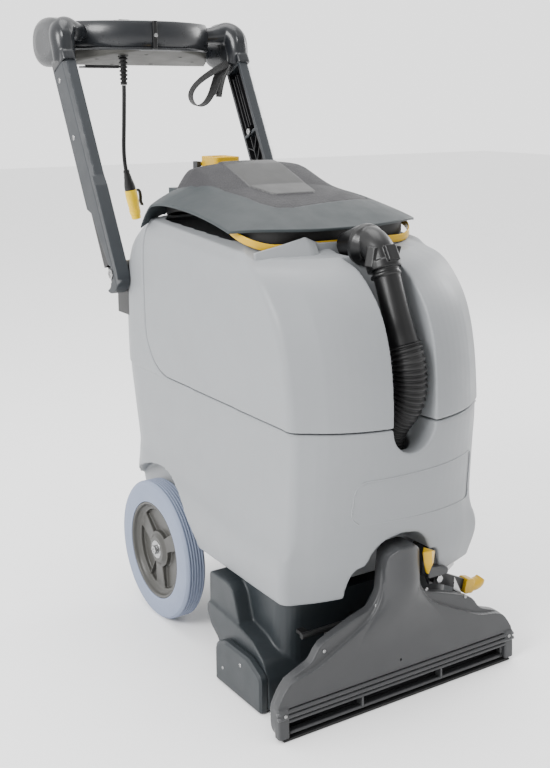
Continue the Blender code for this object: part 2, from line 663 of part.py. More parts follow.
def build_shoe(pivot):
    front = prism("shoe_front", shoe_outline(), "y", SHOE_Y, SHOE_Y + SHOE_DEPTH)
    pocket = [(0.2240, -0.01), (0.2270, 0.030), (0.2240, 0.050), (0.2060, 0.079), (0.1600, 0.099),
              (0.1440, 0.121), (0.0860, 0.143), (0.0480, 0.156), (0.0290, 0.184), (0.0240, 0.226)]
    pocket = pocket + [(-x, z) for x, z in reversed(pocket)]
    cut(front, prism("c", pocket, "y", SHOE_Y + 0.004, SHOE_Y + 0.05))
    rail = prism("c", rounded([(-0.2385, 0.046), (0.2385, 0.046), (0.2385, 0.056), (-0.2385, 0.056)], 0.003,
                              2),
                 "y", SHOE_Y - 0.006, SHOE_Y + 0.001)
    sill = prism("c", rounded([(-0.2375, 0.019), (0.2375, 0.019), (0.2375, 0.029), (-0.2375, 0.029)], 0.003,
                              2),
                 "y", SHOE_Y - 0.007, SHOE_Y + 0.001)
    join(front, rail, sill)
    ribs = [block("c", (x - 0.002, SHOE_Y + 0.002, 0.006), (x + 0.002, SHOE_Y + 0.018, 0.070))
            for x in (-0.16, -0.08, 0.0, 0.08, 0.16)]
    for rib in ribs:
        join(front, rib)
    add(lean(front), "shoe_grey", pivot)

    back = prism("shoe_back", shoe_outline(0.003, 0.0065), "y", SHOE_Y + SHOE_DEPTH + GAP,
                 SHOE_Y + SHOE_DEPTH + 0.0043)
    cut(back, prism("c", circle(0.0, 0.222, 0.017, 16), "y", -0.6, -0.3))
    for x in (-0.13, 0.13):
        lug = block("c", (x - 0.014, SHOE_Y + SHOE_DEPTH + 0.002, 0.040), (x + 0.014, -0.4120, 0.075))
        join(back, lug)
    add(lean(back), "dark_grey", pivot)

    lip = prism("shoe_lip", [(SHOE_Y - 0.0020, 0.0008), (SHOE_Y + SHOE_DEPTH - 0.002, 0.0008),
                             (SHOE_Y + SHOE_DEPTH - 0.0005, 0.0050 - 0.0018), (SHOE_Y - 0.0005,
                                                                               0.0050 - 0.0018)],
                "x", -0.229, 0.229)
    add(lean(lip), "rubber", pivot)


def build_latch(pivot):
    """The wedge that locks the shoe's neck."""
    outline = [(0.0400, 0.2300), (0.0460, 0.2380), (0.0560, 0.2360), (0.0600, 0.2260), (0.0540, 0.2040),
               (0.0475, 0.1960), (0.0445, 0.2060)]
    add(prism("shoe_latch", outline, "y", -0.4620, -0.4480), "yellow", pivot)


def build_lift_pedal(pivot):
    """The foot lever at the right that lifts the shoe, and the bracket that it turns on."""
    bracket = prism("pedal_bracket", [(0.084, 0.1795), (0.150, 0.1795), (0.150, 0.1700), (0.118, 0.1480),
                                      (0.098, 0.1480)], "y", -0.4180, -0.4130)
    cut(bracket, prism("c", [(0.118, 0.1735), (0.140, 0.1735), (0.122, 0.1610)], "y", -0.6, 0.0))
    pin = rod("c", "y", (0.108, 0.1600), 0.0035, -0.4300, -0.4150, 12)
    join(pin, rod("c", "y", (0.108, 0.1600), 0.0065, -0.4325, -0.4295, 6))
    add(join(bracket, pin), "steel")
    lever = prism("lift_lever", rounded([(0.098, 0.1520), (0.112, 0.1490), (0.170, 0.1230), (0.176, 0.1390),
                                         (0.115, 0.1690), (0.100,
                                                           0.1680)], 0.004, 2), "y", -0.4280, -0.4190)
    cut(lever, prism("c", circle(0.108, 0.1600, 0.0038, 12), "y", -0.6, 0.0))
    add(lever, "paint_black", pivot)
    pad = prism("lift_pedal", rounded([(0.158, 0.1180), (0.207, 0.1140), (0.2135, 0.1340), (0.190, 0.1450),
                                       (0.168, 0.1480)], 0.006, 3), "y", -0.4390, -0.4100)
    slot = prism("c", rounded([(0.090, 0.1555), (0.098, 0.1488), (0.110, 0.1487), (0.1705, 0.1222),
                               (0.1772, 0.1396),
                               (0.115, 0.1700), (0.099, 0.1700)], 0.001, 2), "y", -0.4283, -0.4187)
    cut(pad, slot)
    add(pad, "yellow", pivot)


# ---------------------------------------------------------------- brush deck
DECK_OUTER = [(-0.262, 0.004), (-0.255, 0.043), (-0.246, 0.065), (-0.222, 0.080), (-0.208, 0.113),
              (-0.214, 0.1700), (-0.394, 0.1700), (-0.402, 0.120), (-0.401, 0.004)]
DECK_INNER = [(-0.268, -0.010), (-0.261, 0.046), (-0.251, 0.071), (-0.227, 0.086), (-0.214, 0.116),
              (-0.220, 0.1640), (-0.388, 0.1640), (-0.396, 0.119), (-0.395, -0.010)]


def build_deck():
    deck = prism("brush_deck", DECK_OUTER, "x", -DECK_HALF_WIDTH, DECK_HALF_WIDTH)
    inside = DECK_HALF_WIDTH - 0.006
    cut(deck, prism("c", DECK_INNER, "x", -inside, inside))
    for x in (-0.125, 0.125):
        bump = prism("c", rounded([(-0.2135, 0.10), (-0.185, 0.10), (-0.185, 0.1690), (-0.2135, 0.1690)],
                                  [0, 0.02, 0.02, 0], 4), "x", x - 0.035, x + 0.035)
        join(deck, bump)
    for side in (-1, 1):
        cut(deck, rod("c", "x", (BRUSH_Y, BRUSH_Z), 0.0086, *sorted((side * 0.19, side * 0.22)), 14))
    sockets = [block("c", (x - 0.0155, -0.45, 0.0385), (x + 0.0155, -0.39, 0.0950)) for x in (-0.13, 0.13)]
    cut(deck, *sockets)
    add(deck, "dark_grey")

    for side, name in ((-1, "deck_cover_left"), (1, "deck_cover_right")):
        outline = rounded([(-0.2600, 0.0), (-0.2600, 0.066), (-0.2900, 0.078), (-0.3600, 0.078),
                           (-0.3985, 0.064), (-0.3985, 0.0)], [0.004, 0.016, 0.02, 0.02, 0.016, 0.004], 3)
        near, far = DECK_HALF_WIDTH + GAP, DECK_HALF_WIDTH + 0.0125
        cover = prism(name, outline, "x", *sorted((side * near, side * far)))
        lobe = rod("c", "x", (BRUSH_Y, 0.042), 0.028, *sorted((side * (far - 0.001), side * (far + 0.003))),
                   20)
        join(cover, lobe)
        bore = rod("c", "x", (BRUSH_Y, BRUSH_Z), 0.0084,
                   *sorted((side * (near - 0.01), side * (near + 0.006))), 14)
        cut(cover, bore)
        add(cover, "dark_grey")


def build_brush(pivot, motor_pivot):
    inner = BRUSH_RADIUS - 0.012
    profile = [(0.0083, -0.179), (inner, -0.179), (BRUSH_RADIUS, -0.174), (BRUSH_RADIUS, 0.192),
               (inner, 0.194),
               (0.0083, 0.194)]
    brush = turned("brush_roller", profile, "x", (BRUSH_Y, BRUSH_Z), 24)
    add(brush, "bristle", pivot)
    shaft = rod("brush_shaft", "x", (BRUSH_Y, BRUSH_Z), 0.008, -0.2095, 0.2095, 14)
    add(shaft, "steel", pivot)
    pulley = turned("brush_pulley", [(0.0083, BELT_X - 0.005), (BRUSH_PULLEY_RADIUS + 0.003,
                                                                BELT_X - 0.005),
                                     (BRUSH_PULLEY_RADIUS, BELT_X - 0.0035), (BRUSH_PULLEY_RADIUS,
                                                                              BELT_X + 0.0035),
                                     (BRUSH_PULLEY_RADIUS + 0.003, BELT_X + 0.005), (0.0083,
                                                                                     BELT_X + 0.005)],
                    "x", (BRUSH_Y, BRUSH_Z), 20)
    add(pulley, "steel", pivot)

    motor = turned("brush_motor", [(0.0, -0.130), (0.012, -0.130), (0.014, -0.122), (0.033, -0.120),
                                   (0.034, -0.02),
                                   (0.028, 0.0), (0.0, 0.0)], "x", (MOTOR_Y, MOTOR_Z), 18)
    add(motor, "paint_black")
    drive = turned("motor_pulley", [(0.0, -0.1955), (0.0040, -0.1955), (0.0040, BELT_X - 0.005),
                                    (MOTOR_PULLEY_RADIUS + 0.003, BELT_X - 0.005),
                                    (MOTOR_PULLEY_RADIUS, BELT_X - 0.0035), (MOTOR_PULLEY_RADIUS,
                                                                             BELT_X + 0.0035),
                                    (MOTOR_PULLEY_RADIUS + 0.003, BELT_X + 0.005), (0.0040, BELT_X + 0.005),
                                    (0.0040, -0.1305), (0.0, -0.1305)], "x", (MOTOR_Y, MOTOR_Z), 14)
    add(drive, "steel", motor_pivot)

    belt = belt_loop(0.0023)
    core = belt_loop(0.0004)
    band = prism("drive_belt", belt, "x", BELT_X - 0.003, BELT_X + 0.003)
    cut(band, prism("c", core, "x", BELT_X - 0.01, BELT_X + 0.01))
    add(band, "rubber")


def belt_loop(proud):
    """An outline round both pulleys, in Y and Z."""
    away = Vector((MOTOR_Y - BRUSH_Y, MOTOR_Z - BRUSH_Z))
    heading = atan2(away.y, away.x)
    spread = (BRUSH_PULLEY_RADIUS - MOTOR_PULLEY_RADIUS) / away.length
    half = pi / 2 + spread
    big = [(BRUSH_Y + (BRUSH_PULLEY_RADIUS + proud) * cos(heading + a),
            BRUSH_Z + (BRUSH_PULLEY_RADIUS + proud)
            * sin(heading + a)) for a in [half - spread * 2 + (2 * pi - 2 * (half - spread * 2)) * i / 14
                                          for i in range(15)]]
    small_half = half - spread * 2
    small = [(MOTOR_Y + (MOTOR_PULLEY_RADIUS + proud) * cos(heading + a),
              MOTOR_Z + (MOTOR_PULLEY_RADIUS + proud)
              * sin(heading + a)) for a in [-small_half + 2 * small_half * i / 10 for i in range(11)]]
    return big + small


def build_spray_bar():
    bar = rod("spray_bar", "x", (-0.4230, 0.1290), 0.0050, -0.160, 0.070, 8)
    for x in (-0.11, 0.0):
        nozzle = turned("c", [(0.0, 0.108), (0.004, 0.108), (0.0065, 0.114), (0.0065, 0.129), (0.0, 0.129)],
                        "z", (x, -0.4230), 8)
        join(bar, nozzle)
    for x in (-0.15, -0.05, 0.055):
        join(bar, block("c", (x - 0.006, -0.4225, 0.1260), (x + 0.006, -0.4030, 0.1320)))
    add(bar, "black")


# ---------------------------------------------------------------- chassis and wheels
def build_chassis():
    frame = block("chassis_frame", (-0.146, -0.205, 0.1700), (0.146, 0.085, 0.1795))
    for side in (-1, 1):
        flange = prism("c", rounded([(-0.060, 0.1750), (-0.030, 0.1050), (0.030, 0.1050), (0.060, 0.1750)],
                                    [0, 0.02, 0.02, 0], 3), "x", *sorted((side * 0.1400, side * 0.1460)))
        join(frame, flange)
    cut(frame, rod("c", "x", (0.0, WHEEL_RADIUS), AXLE_RADIUS + GAP, -0.2, 0.2, 20))
    cut(frame, rod("c", "z", (0.0, -0.04), 0.030, 0.10, 0.20, 20))
    add(frame, "paint_black")
    add(rod("axle", "x", (0.0, WHEEL_RADIUS), AXLE_RADIUS, -0.1868, 0.1868, 20), "steel")


def build_wheel(side, name, pivot):
    middle = side * WHEEL_X
    half = WHEEL_WIDTH / 2
    tread = [(HUB_RADIUS + GAP, -half + 0.001), (0.120, -half), (WHEEL_RADIUS, -half + 0.006),
             (WHEEL_RADIUS, half - 0.006), (0.120, half), (HUB_RADIUS + GAP, half - 0.001)]
    tyre = turned("tyre_" + name, [(r, middle + t) for r, t in tread], "x", (0.0, WHEEL_RADIUS), 40)
    add(tyre, "tyre", pivot)
    out = side
    section = [(AXLE_RADIUS + GAP, -0.017), (0.021, -0.017), (0.022, -0.006), (0.076, -0.006),
               (0.079, -0.017),
               (HUB_RADIUS, -0.017), (HUB_RADIUS, 0.017), (0.080, 0.0175), (0.076, 0.008), (0.026, 0.008),
               (0.022, 0.012), (AXLE_RADIUS + GAP, 0.012)]
    hub = turned("hub_" + name, [(r, middle + out * t) for r, t in section], "x", (0.0, WHEEL_RADIUS), 28)
    for k in range(3):
        centre = radians(91 + 120 * k)
        spread = radians(46)
        pocket = [(0.072 * cos(centre + a), WHEEL_RADIUS + 0.072 * sin(centre + a)) for a in
                  [-spread + 2 * spread * i / 6 for i in range(7)]]
        pocket += [(0.030 * cos(centre + a), WHEEL_RADIUS + 0.030 * sin(centre + a)) for a in
                   [spread * 0.8 - 1.6 * spread * i / 2 for i in range(3)]]
        cut(hub, prism("c", pocket, "x", *sorted((middle + out * 0.002, middle + out * 0.03))))
    add(hub, "hub", pivot)
    washer_x = side * 0.1878
    bolt = rod("wheel_bolt_" + name, "x", (0.0, WHEEL_RADIUS), 0.0165,
               *sorted((washer_x, washer_x + side * 0.002)), 24)
    head = prism("c", circle(0.0, WHEEL_RADIUS, 0.0085, 6), "x",
                 *sorted((washer_x + side * 0.0015, washer_x + side * 0.0072)))
    add(join(bolt, head), "steel")


# ---------------------------------------------------------------- machinery in the base
def build_machinery():
    vac = turned("vacuum_motor", [(0.0, 0.1805), (0.058, 0.1805), (0.062, 0.186), (0.062, 0.232),
                                  (0.050, 0.238),
                                  (0.045, 0.280), (0.030, 0.285), (0.0, 0.285)], "z", (-0.045, -0.040), 18)
    add(vac, "paint_black")
    pump = block("water_pump", (0.040, -0.150, 0.1805), (0.105, -0.060, 0.2200))
    join(pump, rod("c", "x", (-0.105, 0.2280), 0.022, 0.046, 0.099, 16))
    add(pump, "black")


# ---------------------------------------------------------------- handle
def arm_outline(low=0.0, high=ARM_LENGTH, margin=0.0, radius=0.026):
    """An arm seen from the side, in Y and Z, between two distances down from its top."""
    along, across = Vector(ARM_SLOPE), Vector((ARM_SLOPE[1], -ARM_SLOPE[0]))
    top = Vector(ARM_FRONT)
    corners = [top - along * low + across * margin, top - along * low + across * (ARM_DEPTH - margin),
               top - along * high + across * (ARM_DEPTH - margin), top - along * high + across * margin]
    return rounded([tuple(corner) for corner in corners], [0, 0, radius, radius] if radius else 0, 4)


def build_arm(side, name, pivot):
    inner, outer = side * ARM_X[0], side * ARM_X[1]
    arm = prism("handle_arm_" + name, arm_outline(), "x", *sorted((inner, outer)))
    for low, high in ((0.012, 0.110), (0.116, 0.214), (0.220, 0.318), (0.324, 0.395)):
        trough = prism("c", arm_outline(low, high, 0.005, 0), "x",
                       *sorted((inner - side * 0.01, outer - side * 0.004)))
        cut(arm, trough)
    cut(arm, rod("c", "x", HANDLE_PIVOT, 0.0063, *sorted((side * 0.15, side * 0.22)), 16))
    cut(arm, rod("c", "x", HANDLE_PIVOT, 0.0150, *sorted((side * 0.1965, side * 0.22)), 20))
    add(arm, "arm", pivot)

    bolt = rod("pivot_bolt_" + name, "x", HANDLE_PIVOT, 0.0060, *sorted((side * 0.1705, side * 0.1985)), 16)
    join(bolt, prism("c", circle(*HANDLE_PIVOT, 0.0100, 6), "x", *sorted((side * 0.1968, side * 0.2005))))
    add(bolt, "steel")

    boss = rod("pivot_boss_" + name, "x", HANDLE_PIVOT, 0.0230,
               *sorted((side * 0.1400, side * (ARM_X[0] - 0.0005))), 24)
    join(boss, block("c", (min(side * 0.14, side * 0.172), HANDLE_PIVOT[0] - 0.016,
                           HANDLE_PIVOT[1] - 0.075),
                     (max(side * 0.14, side * 0.172), HANDLE_PIVOT[0] + 0.030, HANDLE_PIVOT[1])))
    body = body_solid("c", -GAP)
    cut(boss, body, rod("c", "x", HANDLE_PIVOT, 0.0063, *sorted((side * 0.1, side * 0.22)), 16))
    add(boss, "black")


def build_grips(pivot):
    outline = rounded([(0.3003, 1.0003), (0.3120, 1.0340), (0.3420, 1.0680), (0.4080, 1.0690),
                       (0.4500, 1.0500),
                       (0.4520, 1.0080), (0.4220, 0.9860), (0.3800, 0.9760), (0.3513, 0.9733)],
                      [0, 0.020, 0.030, 0.030, 0.020, 0.020, 0.020, 0.010, 0], 3)
    for side, name in ((-1, "left"), (1, "right")):
        grip = prism("grip_" + name, outline, "x", *sorted((side * 0.1690, side * 0.2050)))
        socket = rod("c", "x", (0.4330, 1.0100), 0.0128, *sorted((side * 0.16, side * 0.186)), 16)
        add(cut(grip, socket), "arm", pivot)
    bar = rod("rear_bar", "x", (0.4330, 1.0100), 0.0125, -0.1855, 0.1855, 16)
    add(bar, "arm", pivot)


def console_outline(radius, rear=CONSOLE_REAR_Y):
    """The console from above: an arc towards the front, straight at the rear."""
    reach = sqrt(radius ** 2 - (CONSOLE_CENTRE_Y - rear) ** 2)
    start = atan2(rear - CONSOLE_CENTRE_Y, -reach)
    end = atan2(rear - CONSOLE_CENTRE_Y, reach)
    start += 2 * pi if start < 0 else 0.0
    end += 2 * pi
    return [(radius * cos(start + (end - start) * i / 26), CONSOLE_CENTRE_Y + radius
             * sin(start + (end - start) * i / 26)) for i in range(27)]


def underside(y):
    """The console's underside slopes down towards the rear."""
    return CONSOLE_SEAM_Z - 0.003 - 0.25 * (y - 0.280)


SWITCHES = ((-0.050, "rocker_switch_vacuum"), (0.050, "rocker_switch_brush"))
SWITCH_Y = 0.360


def build_console(pivot, switch_pivots):
    housing = prism("console_housing", console_outline(CONSOLE_RADIUS), "z", CONSOLE_SEAM_Z, CONSOLE_TOP_Z)
    cut(housing, prism("c", console_outline(CONSOLE_RADIUS - 0.004, CONSOLE_REAR_Y - 0.004), "z",
                       CONSOLE_SEAM_Z - 0.01, CONSOLE_TOP_Z - 0.004))
    for x, _ in SWITCHES:
        cut(housing, block("c", (x - 0.0115, SWITCH_Y - 0.0172, 1.03), (x + 0.0115, SWITCH_Y + 0.0172,
                                                                        1.08)))
    add(housing, "slate", pivot)

    low = [(x, y, underside(y)) for x, y in console_outline(CONSOLE_RADIUS - 0.001)]
    high = [(x, y, CONSOLE_SEAM_Z - GAP) for x, y in console_outline(CONSOLE_RADIUS - 0.001)]
    base = loft("console_base", [low, high])
    roof = [(x, y, CONSOLE_SEAM_Z + 0.01) for x, y in console_outline(CONSOLE_RADIUS - 0.007,
                                                                      CONSOLE_REAR_Y - 0.006)]
    floor = [(x, y, min(CONSOLE_SEAM_Z - 0.001, underside(y) + 0.003))
             for x, y in console_outline(CONSOLE_RADIUS - 0.007, CONSOLE_REAR_Y - 0.006)]
    cut(base, loft("c", [floor, roof]))
    cut(base, rod("c", "z", (-0.064, 0.330), 0.0103, 0.95, 1.05, 16))
    add(base, "black", pivot)

    for x, name in SWITCHES:
        low = (x - 0.011, SWITCH_Y - 0.015, CONSOLE_TOP_Z - 0.010)
        high = (x + 0.011, SWITCH_Y + 0.015, CONSOLE_TOP_Z + 0.004)
        add(block(name, low, high), "black", switch_pivots[name])

    clip = prism("fascia_clip", rounded([(-0.050, 1.034), (0.010, 1.034), (0.010, 1.047), (-0.050, 1.047)],
                                        0.004, 2),
                 "y", 0.2660, 0.2850)
    cut(clip, rod("c", "z", (0.0, CONSOLE_CENTRE_Y), CONSOLE_RADIUS + GAP, 0.9, 1.2, 96))
    add(clip, "black", pivot)


def build_trigger(pivot):
    """The spray trigger: a plate that hangs from the rear bar and is pulled towards it."""
    plate = block("spray_trigger", (-0.105, 0.4190, 0.9760), (-0.030, 0.4470, 0.9800))
    hook = rod("c", "x", (0.4330, 1.0100), 0.0175, -0.1045, -0.0305, 20)
    join(hook, block("c", (-0.1045, 0.4155, 0.9770), (-0.0305, 0.4195, 1.0100)))
    cut(hook, rod("c", "x", (0.4330, 1.0100), 0.0131, -0.2, 0.2, 20))
    cut(hook, block("c", (-0.2, 0.4200, 0.95), (0.2, 0.46, 1.0045)))
    add(join(plate, hook), "black", pivot)


# ---------------------------------------------------------------- pigtail cord and strap
CORD_ROUTE = [(-0.0640, 0.330, 0.9427), (-0.0642, 0.330, 0.930), (-0.0647, 0.330, 0.916),
              (-0.0653, 0.330, 0.902),
              (-0.0659, 0.330, 0.888), (-0.0665, 0.330, 0.874), (-0.0672, 0.330, 0.860), (-0.0679, 0.330,
                                                                                          0.846),
              (-0.0685, 0.330, 0.834), (-0.0688, 0.330, 0.822), (-0.0687, 0.330, 0.812), (-0.0683, 0.330,
                                                                                          0.803),
              (-0.0676, 0.330, 0.795), (-0.0667, 0.330, 0.788), (-0.0656, 0.330, 0.7820)]
PLUG_AXIS = Vector((0.20, 0.0, -0.98)).normalized()


def along_plug(distance, side=0.0):
    across = Vector((0.98, 0.0, 0.20)).normalized()
    return Vector(CORD_ROUTE[-1]) + PLUG_AXIS * distance + across * side


def build_cord(pivot, latch_pivot):
    relief = sweep("cord_strain_relief", [(-0.064, 0.330, z) for z in (1.0100, 1.0045, 1.0040, 0.9960,
                                                                       0.9700, 0.9432)],
                   [0.0100, 0.0100, 0.0085, 0.0080, 0.0068, 0.0058], 14)
    add(relief, "rubber", pivot)
    add(tube("pigtail_cord", smooth_route(CORD_ROUTE, 2), CORD_RADIUS, 2), "rubber", pivot)
    spots = [along_plug(d) for d in (0.0004, 0.012, 0.026, 0.0400, 0.0405, 0.048, 0.060, 0.072, 0.088,
                                     0.0885, 0.0985)]
    sizes = [0.0058, 0.0075, 0.0098, 0.0108, 0.0115, 0.0120, 0.0115, 0.0118, 0.0122, 0.0100, 0.0100]
    add(sweep("cord_plug", spots, sizes, 18), "yellow", pivot)
    spots = [along_plug(d, s) for d, s in ((0.050, 0.0125), (0.052, 0.0190), (0.066, 0.0200),
                                           (0.078, 0.0165),
                                           (0.077, 0.0140), (0.066, 0.0165), (0.056, 0.0155), (0.0545,
                                                                                               0.0125))]
    low, high = [], []
    for spot in spots:
        low.append((spot.x, spot.y - 0.005, spot.z))
        high.append((spot.x, spot.y + 0.005, spot.z))
    add(loft("plug_latch", [low, high]), "black", latch_pivot)


STRAP_ROUTE = [(0.1680, 0.3280, 0.9850), (0.1600, 0.3280, 0.9800), (0.1400, 0.3280, 0.9640),
               (0.1200, 0.3280, 0.9440),
               (0.1020, 0.3280, 0.9230), (0.0920, 0.3280, 0.9060), (0.0930, 0.3280, 0.8950), (0.1030,
                                                                                              0.3280,
                                                                                              0.8920),
               (0.1150, 0.3280, 0.9010), (0.1240, 0.3280, 0.9180), (0.1370, 0.3280, 0.9420), (0.1540,
                                                                                              0.3280,
                                                                                              0.9630),
               (0.1650, 0.3280, 0.9720)]
STRAP_WIDTH, STRAP_THICKNESS = 0.018, 0.0022


def build_strap(pivot):
    """The cord strap: a loop of webbing held by a bolt to the inside of the right arm."""
    points = smooth_route(STRAP_ROUTE, 2)
    left, right = [], []
    for i, point in enumerate(points):
        ahead = (points[min(i + 1, len(points) - 1)] - points[max(i - 1, 0)]).normalized()
        across = Vector((ahead.z, 0.0, -ahead.x)) * (STRAP_THICKNESS / 2)
        left.append(point + across)
        right.append(point - across)
    outline = [(p.x, p.z) for p in left] + [(p.x, p.z) for p in reversed(right)]
    strap = prism("cord_strap", outline, "y", 0.3280 - STRAP_WIDTH / 2, 0.3280 + STRAP_WIDTH / 2)
    add(strap, "webbing", pivot)


# ---------------------------------------------------------------- the whole machine
def main():
    for item in list(bpy.data.objects):
        bpy.data.objects.remove(item)
    machine = empty(MACHINE, (0.0, AXLE_OFFSET, 0.0))

    pivots = {name: empty(name + "_pivot", spot, machine) for name, spot in {
        "handle": (0.0, *HANDLE_PIVOT),
        "lid": (0.0, *LID_HINGE),
        "filler": (FILLER_X, FILLER_Y + 0.036, FILLER_TOP_Z + 0.004),
        "float": (-0.055, -0.12, 0.590),
        "shoe": (0.0, SHOE_Y, SHOE_BASE_Z),
        "pedal": (0.108, -0.424, 0.160),
        "brush": (0.0, BRUSH_Y, BRUSH_Z),
        "motor": (0.0, MOTOR_Y, MOTOR_Z),
        "wheel_left": (-WHEEL_X, 0.0, WHEEL_RADIUS),
        "wheel_right": (WHEEL_X, 0.0, WHEEL_RADIUS),
    }.items()}
    handle = pivots["handle"]
    on_handle = {
        "trigger": (-0.0675, 0.433, 1.010),
        "plug_latch": tuple(along_plug(0.052, 0.0125)),
        "rocker_switch_vacuum": (SWITCHES[0][0], SWITCH_Y, CONSOLE_TOP_Z - 0.004),
        "rocker_switch_brush": (SWITCHES[1][0], SWITCH_Y, CONSOLE_TOP_Z - 0.004),
    }
    for name, spot in on_handle.items():
        pivots[name] = empty(name + "_pivot", Vector(spot) - Vector((0.0, *HANDLE_PIVOT)), handle)
    pivots["latch"] = empty("latch_pivot", Vector((0.0505, -0.455, 0.2290)) - pivots["shoe"].location,
                            pivots["shoe"])

    build_solution_tank()
    build_recovery_tank()
    build_lid(pivots["lid"])
    build_filler(pivots["filler"])
    build_float(pivots["float"])
    build_hose()
    build_shoe(pivots["shoe"])
    build_latch(pivots["latch"])
    build_lift_pedal(pivots["pedal"])
    build_deck()
    build_brush(pivots["brush"], pivots["motor"])
    build_spray_bar()
    build_chassis()
    for side, name in ((-1, "left"), (1, "right")):
        build_wheel(side, name, pivots["wheel_" + name])
        build_arm(side, name, handle)
    build_machinery()
    build_grips(handle)
    build_console(handle, pivots)
    build_trigger(pivots["trigger"])
    build_cord(handle, pivots["plug_latch"])
    build_strap(handle)

    bpy.context.view_layer.update()
    for piece, pivot in made:
        piece.parent = pivot or machine
        spot = Vector((0.0, 0.0, 0.0))
        step = pivot
        while step is not None and step is not machine:
            spot += step.location
            step = step.parent
        piece.location = -spot


main()
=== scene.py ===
"""Looks of the upright carpet cleaner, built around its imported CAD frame.

Shapes are modelled from the middle of the wheel axle, straight above the floor (X across, -Y towards
the vacuum shoe, Z up, metres); add() then moves each one into the row frame, where the axle is AXLE_Y
further back.  Moulded parts are rough solids that moulded() skins with an even mesh and relaxes.
"""

import json
from math import atan2, copysign, cos, exp, hypot, pi, radians, sin, sqrt, tan

import bmesh
import bpy
from mathutils import Matrix, Vector

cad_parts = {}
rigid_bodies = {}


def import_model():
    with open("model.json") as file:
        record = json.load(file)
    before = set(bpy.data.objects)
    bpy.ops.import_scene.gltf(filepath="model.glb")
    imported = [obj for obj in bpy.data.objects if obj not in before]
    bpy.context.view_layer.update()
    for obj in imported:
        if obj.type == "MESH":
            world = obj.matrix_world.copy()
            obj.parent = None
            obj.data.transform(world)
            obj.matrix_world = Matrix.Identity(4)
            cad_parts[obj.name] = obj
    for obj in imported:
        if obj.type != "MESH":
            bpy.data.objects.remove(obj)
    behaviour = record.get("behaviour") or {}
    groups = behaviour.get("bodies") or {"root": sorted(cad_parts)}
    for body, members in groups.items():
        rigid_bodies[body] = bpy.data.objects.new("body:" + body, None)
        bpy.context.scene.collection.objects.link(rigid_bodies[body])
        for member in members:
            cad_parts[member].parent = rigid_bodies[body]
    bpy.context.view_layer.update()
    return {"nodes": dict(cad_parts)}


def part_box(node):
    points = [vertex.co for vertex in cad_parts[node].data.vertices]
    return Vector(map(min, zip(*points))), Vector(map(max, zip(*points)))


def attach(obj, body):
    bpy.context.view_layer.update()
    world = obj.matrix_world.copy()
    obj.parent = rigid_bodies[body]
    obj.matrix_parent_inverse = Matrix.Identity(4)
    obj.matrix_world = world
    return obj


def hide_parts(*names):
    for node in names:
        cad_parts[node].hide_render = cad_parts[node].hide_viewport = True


for item in list(bpy.data.objects):
    bpy.data.objects.remove(item)
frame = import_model()

AXLE_LOW, AXLE_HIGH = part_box("axle")
AXLE_Y = (AXLE_LOW.y + AXLE_HIGH.y) / 2
WHEEL_RADIUS = (AXLE_LOW.z + AXLE_HIGH.z) / 2
SCENE = bpy.context.scene.collection


# ---- camera, light and floor
CAMERA_SPOT = (-1.0363, -1.6745, 0.9302)
CAMERA_AZIMUTH, CAMERA_RISE, CAMERA_LENS = radians(-33.159), radians(14.7), 52.19
LAMP_TARGET = Vector((0.0, -0.05, 0.5))
LAMPS = (("key_light", (-3.0, -0.9, 2.4), 1.3, 135.0), ("front_light", (0.9, -3.2, 1.9), 1.8, 4.0),
    ("top_light", (0.2, 0.3, 3.4), 1.8, 46.0), ("right_light", (3.0, 0.4, 1.6), 1.0, 26.0))
FLOOR_HALF, FLOOR_Z = 12.0, -0.0002


def aimed(name, data, spot, facing):
    """A camera or lamp at a place, looking along a direction."""
    holder = bpy.data.objects.new(name, data)
    holder.location, holder.rotation_mode = spot, "QUATERNION"
    holder.rotation_quaternion = facing.to_track_quat("-Z", "Y")
    SCENE.objects.link(holder)
    return holder


def build_stage():
    lens = bpy.data.cameras.new("camera")
    lens.lens, lens.sensor_width = CAMERA_LENS, 36.0
    flat = cos(CAMERA_RISE)
    back = Vector((sin(CAMERA_AZIMUTH) * flat, -cos(CAMERA_AZIMUTH) * flat, sin(CAMERA_RISE)))
    bpy.context.scene.camera = aimed("camera", lens, CAMERA_SPOT, -back)
    for name, spot, size, power in LAMPS:
        lamp = bpy.data.lights.new(name, "AREA")
        lamp.shape, lamp.size, lamp.energy = "SQUARE", size, power
        aimed(name, lamp, spot, LAMP_TARGET - Vector(spot))

    world = bpy.data.worlds.new("studio")
    bpy.context.scene.world = world
    world.use_nodes = True
    tree = world.node_tree
    spot = shader_node(tree, "TexCoord").outputs["Generated"]
    along = shader_node(tree, "SeparateXYZ", {"Vector": spot}).outputs["Y"]
    fall = shader_node(tree, "MapRange", {"Value": along, "From Min": -0.85, "From Max": 0.05,
        "To Min": 0.42, "To Max": 1.19})
    feed(tree, tree.nodes["Background"], {"Color": fall.outputs["Result"], "Strength": 1.75})

    span = 2 * FLOOR_HALF
    floor = grid_sheet("floor", 2, 2, lambda u, v: (span * u - FLOOR_HALF, span * v - FLOOR_HALF, FLOOR_Z))
    floor.data.materials.append(material("floor_paint", (0.965, 0.965, 0.965), 0.6, tone=0.004))


# ---- mesh helpers
def mesh_object(name, points, faces, tidy=True):
    mesh = bpy.data.meshes.new(name)
    mesh.from_pydata([tuple(point) for point in points], [], faces)
    if tidy:
        work = bmesh.new()
        work.from_mesh(mesh)
        bmesh.ops.remove_doubles(work, verts=work.verts, dist=1e-6)
        bmesh.ops.dissolve_degenerate(work, edges=work.edges, dist=1e-6)
        bmesh.ops.recalc_face_normals(work, faces=work.faces)
        work.to_mesh(mesh)
        work.free()
    result = bpy.data.objects.new(name, mesh)
    SCENE.objects.link(result)
    return result


